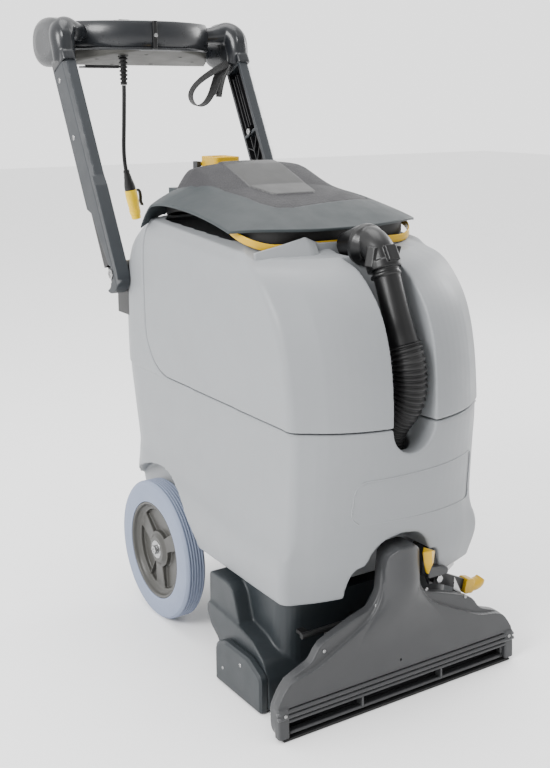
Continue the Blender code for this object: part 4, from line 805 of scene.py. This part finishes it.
def build_hose():
    line = even(curve_points(HOSE_ROUTE, 30), 0.0008)
    pitch = 0.008
    radii = []
    for i in range(len(line)):
        wave = cos(2 * pi * i * 0.0008 / pitch)
        swell = 1.0 if line[i].z > 0.47 else max(0.86, 1.0 - (0.47 - line[i].z) * 2.8)
        radii.append(swell * (0.0245 + 0.0017 * signed_power(wave, 0.6)))
    add(sweep(line, radii, 56), "corrugated_hose", "chassis", RUBBER, "vacuum_hose")

    elbow = tapered(ELBOW, 8, 48)
    lean = Vector((0.0, 0.42, 0.91)).normalized()
    for at, radius, height in (((0, -0.4075, 0.664), 0.0235, 0.005), ((0, -0.403, 0.674), 0.0262, 0.013)):
        ring = turned([(0.0, 0.0), (radius - 0.001, 0.0), (radius, 0.001), (radius, height - 0.001),
            (radius - 0.001, height), (0.0, height)], "z", (0.0, 0.0), 48)
        gather(elbow, placed(ring, at, lean))
    funnel = turned([(0.0, 0.0), (0.025, 0.0), (0.0325, 0.012), (0.0325, 0.02), (0.0, 0.02)], "z",
        (0.0, 0.0), 48)
    gather(elbow, placed(funnel, (0, -0.372, 0.7045), (0.0, 0.93, 0.12)))
    for side in (-1, 1):
        tab = block((-0.008, -0.0035, -0.014), (0.008, 0.0035, 0.016), 0.0025)
        tab.data.transform(Matrix.Translation((side * 0.0235, -0.3985, 0.693))
            @ Matrix.Rotation(side * -0.35, 4, "Z") @ Matrix.Rotation(pi / 2, 4, "Z") @ Matrix.Rotation(0.25,
            4, "X"))
        gather(elbow, tab)
    front_tab = block((-0.0105, -0.004, -0.011), (0.0105, 0.004, 0.013), 0.003)
    front_tab.data.transform(Matrix.Translation((0.0, -0.4195, 0.701)) @ Matrix.Rotation(-0.55, 4, "X"))
    gather(elbow, front_tab)
    add(moulded(elbow, 0.0011, 2), "hose_elbow_shell", "chassis", BLACK, "hose_elbow")


# ---- vacuum shoe
SHOE_Y, SHOE_LEAN, SHOE_BASE_Z = -0.476, 0.07, 0.027


def mirrored(right):
    """An outline from its right half, drawn smooth and mirrored to the left."""
    line = [tuple(p) for p in curve_points(right, 5)]
    return line + [(-x, z) for x, z in reversed(line)]


def leaned(piece):
    return moved(piece, lambda p: Vector((p.x, p.y + SHOE_LEAN * (p.z - SHOE_BASE_Z), p.z)))


def neck_bulge(spot):
    """The neck's round duct, which flares and sinks into the foot's flat front."""
    if spot.y < SHOE_Y + 0.0115 and spot.z > 0.07:
        rise = step_up(spot.z - 0.15, 0.11)
        wide = 0.034 + 0.052 * (1 - step_up(spot.z - 0.142, 0.085))
        share = max(0.0, 1 - (spot.x / wide) ** 2)
        spot.y -= 0.02 * rise * share ** 0.62
    return spot


def build_shoe():
    flange = prism(mirrored([(0.23, 0.004), (0.2365, 0.018), (0.237, 0.044), (0.233, 0.06), (0.212, 0.088),
        (0.172, 0.105), (0.148, 0.13), (0.09, 0.152), (0.056, 0.163), (0.04, 0.186), (0.0345, 0.222),
        (0.03, 0.245), (0.015, 0.2585)]), "y", SHOE_Y + 0.0065, SHOE_Y + 0.0215)
    panel = prism(mirrored([(0.2365, 0.05), (0.233, 0.062), (0.212, 0.0865), (0.17, 0.096), (0.14, 0.108),
        (0.096, 0.129), (0.062, 0.148), (0.042, 0.174), (0.0345, 0.204), (0.0335, 0.226), (0.029, 0.245),
        (0.015, 0.2575)]), "y", SHOE_Y, SHOE_Y + 0.012)
    foot = gather(flange, panel)
    for x in (-0.2275, 0.2275):
        gather(foot, block((x - 0.0095, SHOE_Y - 0.003, 0.0045), (x + 0.0095, SHOE_Y + 0.012, 0.052), 0.003))
    moulded(foot, 0.0014, 3, neck_bulge, 3)
    slot = block((-0.215, SHOE_Y - 0.02, 0.01), (0.215, SHOE_Y + 0.017, 0.027))
    cut(foot, slot, rod("y", (-0.004, 0.0665), 0.0022, SHOE_Y - 0.02, SHOE_Y + 0.006))
    for x in (-0.08, 0.08):
        gather(foot, block((x - 0.0018, SHOE_Y + 0.001, 0.01), (x + 0.0018, SHOE_Y + 0.018, 0.028)))
    leaned(foot)
    add(foot, "shoe_front_moulding", "shoe", SHOE, "shoe_front", sharp=40)

    rails = []
    for z, proud, half in ((0.046, 0.005, 0.238), (0.0385, 0.0062, 0.2375), (0.0305, 0.004, 0.23)):
        line = [Vector((-half + half * 2 * k / 60, SHOE_Y - proud + 0.0045, z)) for k in range(61)]
        rails.append(sweep(line, 0.003, 12))
    add(leaned(gather(*rails)), "shoe_rails", "shoe", SHOE)
    lining = block((-0.2145, SHOE_Y + 0.015, 0.0095), (0.2145, SHOE_Y + 0.0166, 0.0275))
    add(leaned(lining), "shoe_slot_lining", "shoe", RIBS)
    line = [Vector((-0.215 + 0.43 * k / 40, SHOE_Y + 0.004, 0.0095)) for k in range(41)]
    add(leaned(sweep(line, 0.0028, 10)), "shoe_slot_lip", "shoe", SHOE)

    screws = []
    for x, z, inset in ((-0.046, 0.165, 0.0065), (-0.146, 0.118, 0.0065), (0.055, 0.1665, 0.0065),
            (0.138, 0.133, 0.0065), (-0.225, 0.041, -0.003), (0.227, 0.044, -0.003)):
        y = SHOE_Y + inset + SHOE_LEAN * (z - SHOE_BASE_Z)
        screws.append(pan_screw((x, y - 0.0006, z), (0.0, -1.0, 0.07), 0.003))
    add(gather(*screws), "shoe_screws", "shoe", STEEL, sharp=30)


# ---- latch and pedal
def build_latch():
    wedge = loft([[(0.036, -0.469, 0.237), (0.048, -0.477, 0.24), (0.064, -0.467, 0.233),
        (0.05, -0.455, 0.238)], [(0.039, -0.47, 0.218), (0.049, -0.479, 0.217), (0.062, -0.467, 0.214),
        (0.05, -0.457, 0.218)], [(0.048, -0.465, 0.198), (0.0505, -0.469, 0.1965), (0.0545, -0.464, 0.1975),
        (0.05, -0.46, 0.1985)]])
    add(moulded(wedge, 0.0008, 3), "shoe_latch_wedge", "shoe_lock", AMBER, "shoe_latch")

    body = prism(rounded([(0.064, 0.18), (0.1, 0.18), (0.103, 0.205), (0.09, 0.231), (0.07, 0.226),
        (0.064, 0.204)], 0.004), "y", -0.44, -0.405)
    ledge = prism(rounded([(0.066, 0.178), (0.108, 0.178), (0.108, 0.188), (0.072, 0.198), (0.066, 0.194)],
        0.003), "y", -0.452, -0.415)
    add(moulded(gather(body, ledge), 0.0013, 2), "latch_housing", "chassis", SHOE)
    plate = prism([(0.128, 0.118), (0.152, 0.122), (0.131, 0.162)], "y", -0.442, -0.44)
    add(bevelled(plate, 0.0004, 1), "pedal_gusset", "chassis", STEEL, sharp=30)


def build_pedal():
    route = [(0.168, -0.4245, 0.133, 0.0085), (0.18, -0.425, 0.129, 0.0105), (0.19, -0.425, 0.1275, 0.011),
        (0.2, -0.425, 0.13, 0.0105), (0.206, -0.425, 0.136, 0.0085)]
    pad = tapered(route, 6, 24)
    gather(pad, prism(rounded([(0.16, 0.12), (0.182, 0.118), (0.184, 0.142), (0.166, 0.146)], 0.005), "y",
        -0.435, -0.414))
    add(moulded(pad, 0.0009, 4), "lift_pedal_pad", "pedal", AMBER, "lift_pedal")


# ---- brush deck
def build_deck():
    roof = [(-0.262, 0.0045), (-0.257, 0.04), (-0.246, 0.062), (-0.222, 0.078), (-0.209, 0.1),
        (-0.214, 0.118), (-0.3, 0.112), (-0.352, 0.101), (-0.384, 0.08), (-0.3985, 0.052), (-0.401, 0.0045)]
    deck = prism(rounded(roof, [0.004, 0.02, 0.02, 0.02, 0.02, 0.01, 0.06, 0.04, 0.03, 0.02, 0.003], 5), "x",
        -0.2045, 0.2045)
    core = prism(rounded([(-0.172, -0.392), (0.172, -0.392), (0.172, -0.214), (-0.172, -0.214)],
        [0.032, 0.032, 0.01, 0.01]), "z", 0.06, 0.17)
    gather(deck, core)
    for side in (-1, 1):
        gather(deck, prism(rounded([(-0.214, 0.08), (-0.214, 0.169), (-0.285, 0.169), (-0.31, 0.1)],
            [0, 0.004, 0.03, 0.01]), "x", side * 0.14, side * 0.2))
        gather(deck, ball((side * 0.12, -0.212, 0.135), (0.036, 0.026, 0.034)))
    moulded(deck, 0.002, 6)
    inner = [(-0.268, -0.01), (-0.262, 0.038), (-0.251, 0.06), (-0.228, 0.072), (-0.3, 0.103),
        (-0.35, 0.093), (-0.378, 0.074), (-0.392, 0.05), (-0.395, -0.01)]
    cut(deck, prism(inner, "x", -0.1985, 0.1985))
    add(deck, "brush_deck_shell", "chassis", DECK, "brush_deck", sharp=50)

    for side, name in ((-1, "left"), (1, "right")):
        near, far = side * 0.2048, side * 0.2165
        outline = rounded([(-0.26, 0.001), (-0.26, 0.066), (-0.29, 0.08), (-0.36, 0.08), (-0.3985, 0.062),
            (-0.3985, 0.001)], [0.004, 0.016, 0.03, 0.03, 0.016, 0.004], 8)
        cover = prism(outline, "x", near, far)
        face = prism([(y * 0.955 - 0.0148, z * 0.93 + 0.002) for y, z in outline], "x", far - side * 0.002,
            far + side * 0.0022)
        moulded(gather(cover, face), 0.0013, 3)
        add(cover, "deck_side_cover_" + name, "chassis", DECK, "deck_cover_" + name)
        screws = gather(pan_screw((side * 0.2187, -0.339, 0.059), (side, 0, 0), 0.0034),
            pan_screw((side * 0.2187, -0.285, 0.03), (side, 0, 0), 0.0028))
        add(screws, "deck_cover_screws_" + name, "chassis", STEEL, sharp=30)


def build_brush():
    """A roller with helical rows of nylon tufts."""
    radius, core, y, z = 0.0385, 0.024, -0.332, 0.0405
    roller = turned([(0.0083, -0.179), (core - 0.002, -0.179), (core, -0.177), (core, 0.192),
        (core - 0.002, 0.194), (0.0083, 0.194)], "x", (y, z), 48)
    points, faces = [], []
    for row in range(10):
        for k in range(52):
            x = -0.172 + 0.36 * k / 51
            angle = 2 * pi * row / 10 + 5.0 * x
            out = Vector((0.0, cos(angle), sin(angle)))
            across = Vector((0.0, -out.z, out.y))
            base = Vector((x, y, z)) + out * (core - 0.001)
            first = len(points)
            for height, spread in ((0.0, 0.0016), (radius - core + 0.001, 0.0026)):
                for a in range(6):
                    turn = 2 * pi * a / 6
                    points.append(base + out * height + Vector((cos(turn) * spread, 0, 0)) + across
                        * (sin(turn) * spread))
            faces += [(first + a, first + (a + 1) % 6, first + 6 + (a + 1) % 6, first + 6 + a)
                for a in range(6)]
            faces += [tuple(first + a for a in range(6)), tuple(first + 6 + a for a in range(6))]
    tufts = mesh_object("solid", points, faces)
    add(gather(roller, tufts), "brush_roller_tufts", "brush", BRISTLE, "brush_roller", sharp=40)


# ---- wheels
def build_wheel(side, name):
    middle, half = side * 0.1755, 0.02
    profile = [(0.0893, -half + 0.001), (0.093, -half + 0.0002), (0.118, -half), (0.1225, -half + 0.0012),
        (0.1255, -half + 0.004)]
    pitch = (2 * half - 0.0085) / 6
    for k in range(6):
        start = -half + 0.00425 + pitch * k
        if k:
            profile += [(0.1243, start - 0.0011), (0.1243, start + 0.0011)]
        profile += [(WHEEL_RADIUS - 0.0002, start + 0.0017), (WHEEL_RADIUS, start + pitch * 0.5),
            (WHEEL_RADIUS - 0.0002, start + pitch - 0.0017)]
    profile += [(0.1255, half - 0.004), (0.1225, half - 0.0012), (0.118, half), (0.093, half - 0.0002),
        (0.0893, half - 0.001)]
    tyre = turned([(r, middle + t) for r, t in profile], "x", (0.0, WHEEL_RADIUS), 160)
    add(tyre, "tyre_tread_" + name, "wheel_" + name, TYRE, "tyre_" + name, sharp=28)

    section = [(0.0098, -0.017), (0.021, -0.017), (0.023, -0.006), (0.074, -0.006), (0.079, -0.0165),
        (0.089, -0.0185), (0.089, 0.0185), (0.0865, 0.019), (0.084, 0.0175), (0.082, 0.012), (0.077, 0.0075),
        (0.07, 0.0062), (0.03, 0.0085), (0.023, 0.013), (0.0098, 0.013)]
    hub = turned([(r, middle + side * t) for r, t in section], "x", (0.0, WHEEL_RADIUS), 96)
    for k in range(3):
        centre = radians(91 + 120 * k)
        spread = radians(47)
        outer = arc(0.0, WHEEL_RADIUS, 0.0735, centre - spread, centre + spread, 12)
        inner = arc(0.0, WHEEL_RADIUS, 0.033, centre + spread * 0.8, centre - spread * 0.8, 6)
        cut(hub, prism(outer + inner, "x", middle - side * 0.0005, middle + side * 0.03))
        angle = centre + radians(60)
        rib = block((-0.0009, 0.022, -0.004), (0.0009, 0.076, 0.0085))
        rib.data.transform(Matrix.Translation((middle, 0.0, WHEEL_RADIUS)) @ Matrix.Rotation(angle - pi / 2,
            4, "X") @ Matrix.Rotation(side * pi / 2, 4, "Y"))
        gather(hub, rib)
    moulded(hub, 0.0012, 2)
    add(hub, "hub_moulding_" + name, "wheel_" + name, HUB, "hub_" + name)
    bolt = hex_bolt((side * 0.1892, 0.0, WHEEL_RADIUS), (side, 0, 0), 0.0085, 0.0058, 0.0165)
    add(bolt, "wheel_bolt_head_" + name, "chassis", STEEL, "wheel_bolt_" + name, sharp=30)


# ---- handle
ARM_TOP, ARM_UP, ARM_DEPTH, ARM_LENGTH = Vector((0.2995, 1.0)), Vector((0.463, 0.886)), 0.058, 0.455
ARM_IN, ARM_OUT = 0.1755, 0.201
RIB_HALF = 0.0009                # half of a rib's thickness
PIVOT = (0.13, 0.614)
ARM_BACK = Vector((ARM_UP.y, -ARM_UP.x))


def on_arm(down, back):
    """A point on the arm's side, in Y and Z: a distance down from its top and one back from its front."""
    return tuple(ARM_TOP - ARM_UP * down + ARM_BACK * back)


def build_arm(side, name):
    front = [on_arm(0.004, 0.003), on_arm(0.004, ARM_DEPTH), on_arm(ARM_LENGTH, ARM_DEPTH),
        on_arm(ARM_LENGTH, 0.0), on_arm(0.262, -0.0005), on_arm(0.24, 0.003)]
    outline = rounded(front, [0, 0, 0.026, 0.026, 0.012, 0.012], 8)
    arm = prism(outline, "x", side * ARM_IN, side * ARM_OUT)
    facet = prism([(side * (ARM_OUT + 0.01), 0.0), (side * (ARM_OUT - 0.01), 0.0),
        (side * (ARM_OUT + 0.01), 0.016)], "z", -0.6, 0.6)
    turn = Matrix(((1, 0, 0), (0, ARM_BACK.x, ARM_UP.x), (0, ARM_BACK.y, ARM_UP.y))).to_4x4()
    facet.data.transform(Matrix.Translation((0.0, ARM_TOP.x + ARM_BACK.x * 0.0035, ARM_TOP.y + ARM_BACK.y
        * 0.0035)) @ turn)
    cut(arm, facet)
    for low, high in ((0.014, 0.15), (0.156, 0.4)):
        corners = [on_arm(low, 0.01), on_arm(low, ARM_DEPTH - 0.005), on_arm(high, ARM_DEPTH - 0.005),
            on_arm(high, 0.01)]
        cut(arm, prism(corners, "x", side * (ARM_IN - 0.01), side * (ARM_OUT - 0.0045)))
    flank = [on_arm(0.3, ARM_DEPTH - 0.016), on_arm(0.275, ARM_DEPTH + 0.01),
        on_arm(ARM_LENGTH - 0.012, ARM_DEPTH + 0.01), on_arm(ARM_LENGTH - 0.012, ARM_DEPTH - 0.022),
        on_arm(ARM_LENGTH - 0.045, ARM_DEPTH - 0.034), on_arm(ARM_LENGTH - 0.085, ARM_DEPTH - 0.026)]
    cut(arm, prism(rounded(flank, [0.01, 0, 0, 0.012, 0.02, 0.02], 5), "x", side * (ARM_OUT - 0.013),
        side * 0.23))
    cut(arm, rod("x", PIVOT, 0.015, side * 0.1965, side * 0.22))
    moulded(arm, 0.0012, 4)
    add(arm, "arm_moulding_" + name, "handle", ARM, "handle_arm_" + name)

    strips = [((0.164 + 0.024 * k, 0.011), (0.19 + 0.024 * k, 0.034), 0.001) for k in range(9)]
    strips += [((0.19 + 0.024 * k, 0.034), (0.176 + 0.024 * k, ARM_DEPTH - 0.006), 0.001) for k in range(9)]
    strips += [((low, back), (high, back), 0.0006) for back, low, high in ((0.0105, 0.015, 0.4),
        (0.034, 0.16, 0.4), (ARM_DEPTH - 0.0055, 0.015, 0.4), (0.022, 0.03, 0.14), (0.03, 0.03, 0.14),
        (0.041, 0.03, 0.14))]
    ribs = []
    for start, end, inset in strips:
        a, b = Vector(on_arm(*start)), Vector(on_arm(*end))
        across = Vector((b.y - a.y, a.x - b.x)).normalized() * RIB_HALF
        ribs.append(prism([tuple(a + across), tuple(b + across), tuple(b - across), tuple(a - across)], "x",
            side * (ARM_IN + inset), side * (ARM_OUT - 0.005)))
    liner = prism([on_arm(0.014, 0.011), on_arm(0.014, ARM_DEPTH - 0.006), on_arm(0.4, ARM_DEPTH - 0.006),
        on_arm(0.4, 0.011)], "x", side * (ARM_OUT - 0.0056), side * (ARM_OUT - 0.0046))
    add(gather(*ribs, liner), "arm_ribs_" + name, "handle", RIBS, sharp=30)

    bolts = gather(hex_bolt((side * ARM_IN, *on_arm(0.15, 0.03)), (-side, 0, 0), 0.0065, 0.0045),
        hex_bolt((side * (ARM_IN - 0.002), *on_arm(0.006, 0.036)), (-side, 0, 0), 0.0075, 0.005),
        pan_screw((side * (ARM_OUT - 0.0006), *on_arm(0.035, 0.04)), (side, 0, 0), 0.0052),
        pan_screw((side * (ARM_OUT - 0.0006), *on_arm(0.15, 0.04)), (side, 0, 0), 0.0052))
    add(bolts, "arm_bolts_" + name, "handle", STEEL, sharp=30)

    pivot = gather(rod("x", PIVOT, 0.006, side * 0.1705, side * 0.1985), hex_bolt((side * 0.1968, *PIVOT),
        (side, 0, 0), 0.01, 0.0037))
    add(pivot, "pivot_bolt_head_" + name, "chassis", STEEL, "pivot_bolt_" + name, sharp=30)


def build_grip(side, name):
    """A thick disc on the arm's top, with a bent tube from the arm into the console's end."""
    def disc(share):
        ring = []
        for k in range(64):
            c, s = cos(2 * pi * k / 64), sin(2 * pi * k / 64)
            ring.append((0.378 + 0.0735 * share * signed_power(c, 0.86), 1.0205 + 0.045 * share
                * signed_power(s, 0.86)))
        return ring
    skins = ((0.174, 0.8), (0.1765, 0.93), (0.18, 1.0), (0.195, 1.0), (0.199, 0.93), (0.2025, 0.8),
        (0.2045, 0.55))
    grip = loft([[(side * x, y, z) for y, z in disc(share)] for x, share in skins])
    bend = curve_points([(side * 0.188, 0.323, 0.985), (side * 0.188, 0.324, 1.01),
        (side * 0.1865, 0.332, 1.033), (side * 0.176, 0.344, 1.044), (side * 0.158, 0.35, 1.041),
        (side * 0.14, 0.357, 1.039), (side * 0.12, 0.368, 1.037)], 8)
    count = len(bend) - 1
    gather(grip, sweep(bend, [0.0195 + 0.004 * sin(pi * min(1.0, k / count * 1.3)) - 0.0055
        * (k / count) ** 3 for k in range(count + 1)], 40))
    sleeve = []
    for down, proud in ((0.012, 0.0016), (-0.004, 0.0016), (-0.016, -0.002)):
        ring = rounded([(side * (ARM_IN - proud), -proud), (side * (ARM_OUT + proud), -proud),
            (side * (ARM_OUT + proud), ARM_DEPTH + proud), (side * (ARM_IN - proud), ARM_DEPTH + proud)],
            0.008, 5)
        sleeve.append([(x, *on_arm(down , back)) for x, back in ring])
    gather(grip, loft(sleeve))
    moulded(grip, 0.0015, 5)
    add(grip, "grip_moulding_" + name, "handle", FASCIA, "grip_" + name)


CONSOLE_Y, CONSOLE_RADIUS, CONSOLE_REAR = 0.448, 0.168, 0.404


def console_ring(inset, z):
    """The console from above, set in evenly: an arc at the front, straight at the rear."""
    radius, rear = CONSOLE_RADIUS - inset, CONSOLE_REAR - inset
    reach = sqrt(radius ** 2 - (CONSOLE_Y - rear) ** 2)
    start, end = atan2(rear - CONSOLE_Y, -reach) % (2 * pi), atan2(rear - CONSOLE_Y, reach) % (2 * pi)
    height = z if callable(z) else lambda y: z
    ring = []
    for i in range(97):
        angle = start + (end - start) * i / 96
        x, y = radius * cos(angle), CONSOLE_Y + radius * sin(angle)
        ring.append((x, y, height(y)))
    return ring


def underside(y):
    return 1.009 - 0.25 * (y - 0.28)


def build_console():
    levels = []
    for k in range(13):
        angle = -0.62 + 1.5 * k / 12
        levels.append((0.0105 * (1 - cos(angle)) * 1.6, 1.0355 + 0.0245 * sin(angle) / sin(0.88)))
    rings = [console_ring(0.006, 1.0125), *[console_ring(inset, z) for inset, z in levels],
        console_ring(0.014, 1.0612), console_ring(0.02, 1.0618), console_ring(0.032, 1.0606),
        console_ring(0.06, 1.0596)]
    housing = loft(rings)
    for x in (-0.05, 0.05):
        cut(housing, block((x - 0.0125, 0.342, 1.045), (x + 0.0125, 0.378, 1.08)))
    add(housing, "console_cover", "handle", FASCIA, "console_housing", sharp=45)

    band = loft([console_ring(0.009, 1.006), console_ring(0.0045, 1.008), console_ring(0.003, 1.0105),
        console_ring(0.0036, 1.012), console_ring(0.009, 1.0125)])
    add(band, "console_lower_band", "handle", FASCIA, sharp=45)
    plate = loft([console_ring(0.012, underside), console_ring(0.0085, lambda y: underside(y) + 0.001),
        console_ring(0.0065, lambda y: min(1.0098, underside(y) + 0.004)), console_ring(0.0065, 1.01)])
    cut(plate, rod("z", (-0.064, 0.33), 0.0103, 0.95, 1.05))
    for x, y in ((-0.108, 0.352), (-0.02, 0.318), (0.06, 0.33), (0.105, 0.362), (0.02, 0.38),
            (-0.062, 0.385)):
        cut(plate, prism([(x + 0.0045 * a, y + 0.0022 * b) for a, b in circle(0.0, 0.0, 1.0, 16)], "z", 0.95,
            underside(y) + 0.003))
    add(plate, "console_underside", "handle", UNDER, "console_base", sharp=45)

    out = (-0.02, -CONSOLE_RADIUS, 0.0)
    strip = block((-0.0045, -0.004, -0.026), (0.0045, 0.0036, 0.026), 0.002)
    strip.data.transform(Matrix.Translation((-0.02, 0.2812, 1.0345)))
    add(moulded(strip, 0.0008, 2), "fascia_clip_strip", "handle", BLACK, "fascia_clip")
    add(hex_bolt((-0.02, 0.2775, 1.034), out, 0.0042, 0.003), "fascia_clip_bolt", "handle", STEEL,
        sharp=30)

    for x, body, node in ((-0.05, "vacuum_switch", "rocker_switch_vacuum"),
            (0.05, "brush_switch", "rocker_switch_brush")):
        profile = [(0.345, 1.052), (0.375, 1.052), (0.375, 1.064), (0.37, 1.0652), (0.36, 1.0632),
            (0.35, 1.0652), (0.345, 1.064)]
        rocker = bevelled(prism(profile, "x", x - 0.011, x + 0.011), 0.0008, 2)
        add(rocker, "rocker_" + body, body, BLACK, node, sharp=30)


# ---- cord, plug and strap
CORD_ROUTE = [(-0.064, 0.33, 0.9427), (-0.0642, 0.33, 0.93), (-0.0647, 0.33, 0.916), (-0.0653, 0.33, 0.902),
    (-0.0659, 0.33, 0.888), (-0.0665, 0.33, 0.874), (-0.0672, 0.33, 0.86), (-0.0679, 0.33, 0.846),
    (-0.0685, 0.33, 0.834), (-0.0688, 0.33, 0.822), (-0.0687, 0.33, 0.812), (-0.0683, 0.33, 0.803),
    (-0.0676, 0.33, 0.795), (-0.0667, 0.33, 0.788), (-0.0656, 0.33, 0.782)]
CORD_RADIUS = 0.004
PLUG_AXIS = Vector((0.2, 0.0, -0.98)).normalized()
PLUG_ACROSS = Vector((0.98, 0.0, 0.2)).normalized()


def along_plug(distance, side=0.0):
    return Vector(CORD_ROUTE[-1]) + PLUG_AXIS * distance + PLUG_ACROSS * side


def build_cord():
    points = curve_points(CORD_ROUTE, 3)
    curve = bpy.data.curves.new("pigtail_lead", "CURVE")
    curve.dimensions, curve.use_fill_caps = "3D", True
    curve.bevel_depth, curve.bevel_resolution = CORD_RADIUS, 6
    spline = curve.splines.new("POLY")
    spline.points.add(len(points) - 1)
    for spot, point in zip(spline.points, points):
        spot.co = (point.x, point.y + AXLE_Y, point.z, 1.0)
    lead = bpy.data.objects.new("pigtail_lead", curve)
    SCENE.objects.link(lead)
    curve.materials.append(RUBBER)
    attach(lead, "handle")
    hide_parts("pigtail_cord")

    heights, radii = [], []
    for k in range(121):
        share = k / 120
        heights.append(1.006 - 0.0628 * share)
        swirl = 0.0016 * cos(2 * pi * 8.5 * share)
        radii.append(0.0094 if share < 0.1 else 0.0064 if share > 0.93 else 0.0078 - 0.0018 * share + swirl)
    relief = sweep([(-0.064, 0.33, z) for z in heights], radii, 32)
    add(relief, "cord_relief_ribbed", "handle", RUBBER, "cord_strain_relief", sharp=50)

    boot_line = [(0.0004, 0.0056), (0.004, 0.0066), (0.005, 0.0058), (0.012, 0.0068), (0.013, 0.0074),
        (0.018, 0.0078), (0.03, 0.0105), (0.038, 0.0112), (0.04, 0.0106)]
    boot = sweep([along_plug(d) for d, _ in boot_line], [r for _, r in boot_line], 40)
    add(boot, "plug_boot_rubber", "handle", RUBBER, sharp=40)
    shell_line = [(0.0395, 0.01), (0.0405, 0.0116), (0.05, 0.0121), (0.062, 0.0118), (0.072, 0.0112),
        (0.0735, 0.0104), (0.075, 0.0114), (0.0765, 0.0104), (0.078, 0.0114), (0.0795, 0.0104),
        (0.081, 0.0114), (0.088, 0.0108), (0.0885, 0.0096), (0.0975, 0.0092), (0.0985, 0.008)]
    shell = sweep([along_plug(d) for d, _ in shell_line], [r for _, r in shell_line], 40)
    add(shell, "plug_shell", "handle", YELLOW, "cord_plug", sharp=35)
    hook = [(0.0435, 0.014), (0.0445, 0.0175), (0.051, 0.019), (0.059, 0.0182), (0.067, 0.0166),
        (0.073, 0.018), (0.0755, 0.0172)]
    line = curve_points([along_plug(d, s) for d, s in hook], 6)
    clip = sweep(line, 0.0026, 16)
    moved(clip, lambda p: Vector((p.x, 0.33 + (p.y - 0.33) * 2.2, p.z)))
    add(clip, "plug_clip_lever", "plug_clip", BLACK, "plug_latch")


def ribbon(route, wide, thick, depth_y, twist=0.0):
    """A flat strap along a route in X and Z, its width along Y."""
    line = even(curve_points([(x, depth_y, z) for x, z in route], 10), 0.0025)
    rings = []
    for i, point in enumerate(line):
        ahead = (line[min(i + 1, len(line) - 1)] - line[max(i - 1, 0)]).normalized()
        turn = Matrix.Rotation(twist * (i / len(line) - 0.5), 3, ahead)
        across = turn @ Vector((0.0, 1.0, 0.0)) * (wide / 2)
        out = ahead.cross(across).normalized() * (thick / 2)
        ring = []
        for k in range(16):
            angle = 2 * pi * k / 16
            c, s = cos(angle), sin(angle)
            ring.append(point + across * signed_power(c, 0.3) + out * signed_power(s, 0.6))
        rings.append(ring)
    return loft(rings)


def build_strap():
    loop = [(0.17, 0.987), (0.155, 0.98), (0.13, 0.968), (0.105, 0.953), (0.088, 0.938), (0.081, 0.923),
        (0.086, 0.909), (0.099, 0.903), (0.114, 0.908), (0.127, 0.923), (0.136, 0.942), (0.145, 0.962),
        (0.162, 0.98)]
    strap = ribbon(loop, 0.018, 0.002, 0.328, 1.5)
    tail = ribbon([(0.169, 0.982), (0.158, 0.964), (0.15, 0.946), (0.145, 0.93), (0.1425, 0.92)], 0.017,
        0.002, 0.322, -0.5)
    second = ribbon([(0.169, 0.978), (0.16, 0.958), (0.15, 0.938), (0.142, 0.925)], 0.016, 0.0018, 0.335,
        0.6)
    add(gather(strap, tail, second), "cord_strap_webbing", "handle", WEBBING, "cord_strap",
        sharp=50)


# ---- CAD pieces that stay
KEPT = ((STEEL, ("axle", "lid_hinge_pin", "pedal_bracket", "brush_shaft", "brush_pulley", "motor_pulley")),
    (PAINT, ("brush_motor", "chassis_frame", "vacuum_motor", "lift_lever")),
    (BLACK, ("water_pump", "spray_bar", "pivot_boss_left", "pivot_boss_right", "spray_trigger")),
    (RUBBER, ("drive_belt", "shoe_lip")),
    (DARK, ("lid_hinge_bracket", "filler_neck", "float_cage", "shoe_back")), (ARM, ("rear_bar",)),
    (AMBER, ("float_ball",)),)


def dress_kept():
    for finish, names in KEPT:
        for name in names:
            node = frame["nodes"][name]
            node.data.materials.clear()
            node.data.materials.append(finish)


build_tanks()
build_lid()
build_filler()
build_hose()
build_shoe()
build_latch()
build_pedal()
build_deck()
build_brush()
for side, name in ((-1, "left"), (1, "right")):
    build_wheel(side, name)
    build_arm(side, name)
    build_grip(side, name)
build_console()
build_cord()
build_strap()
dress_kept()
build_stage()
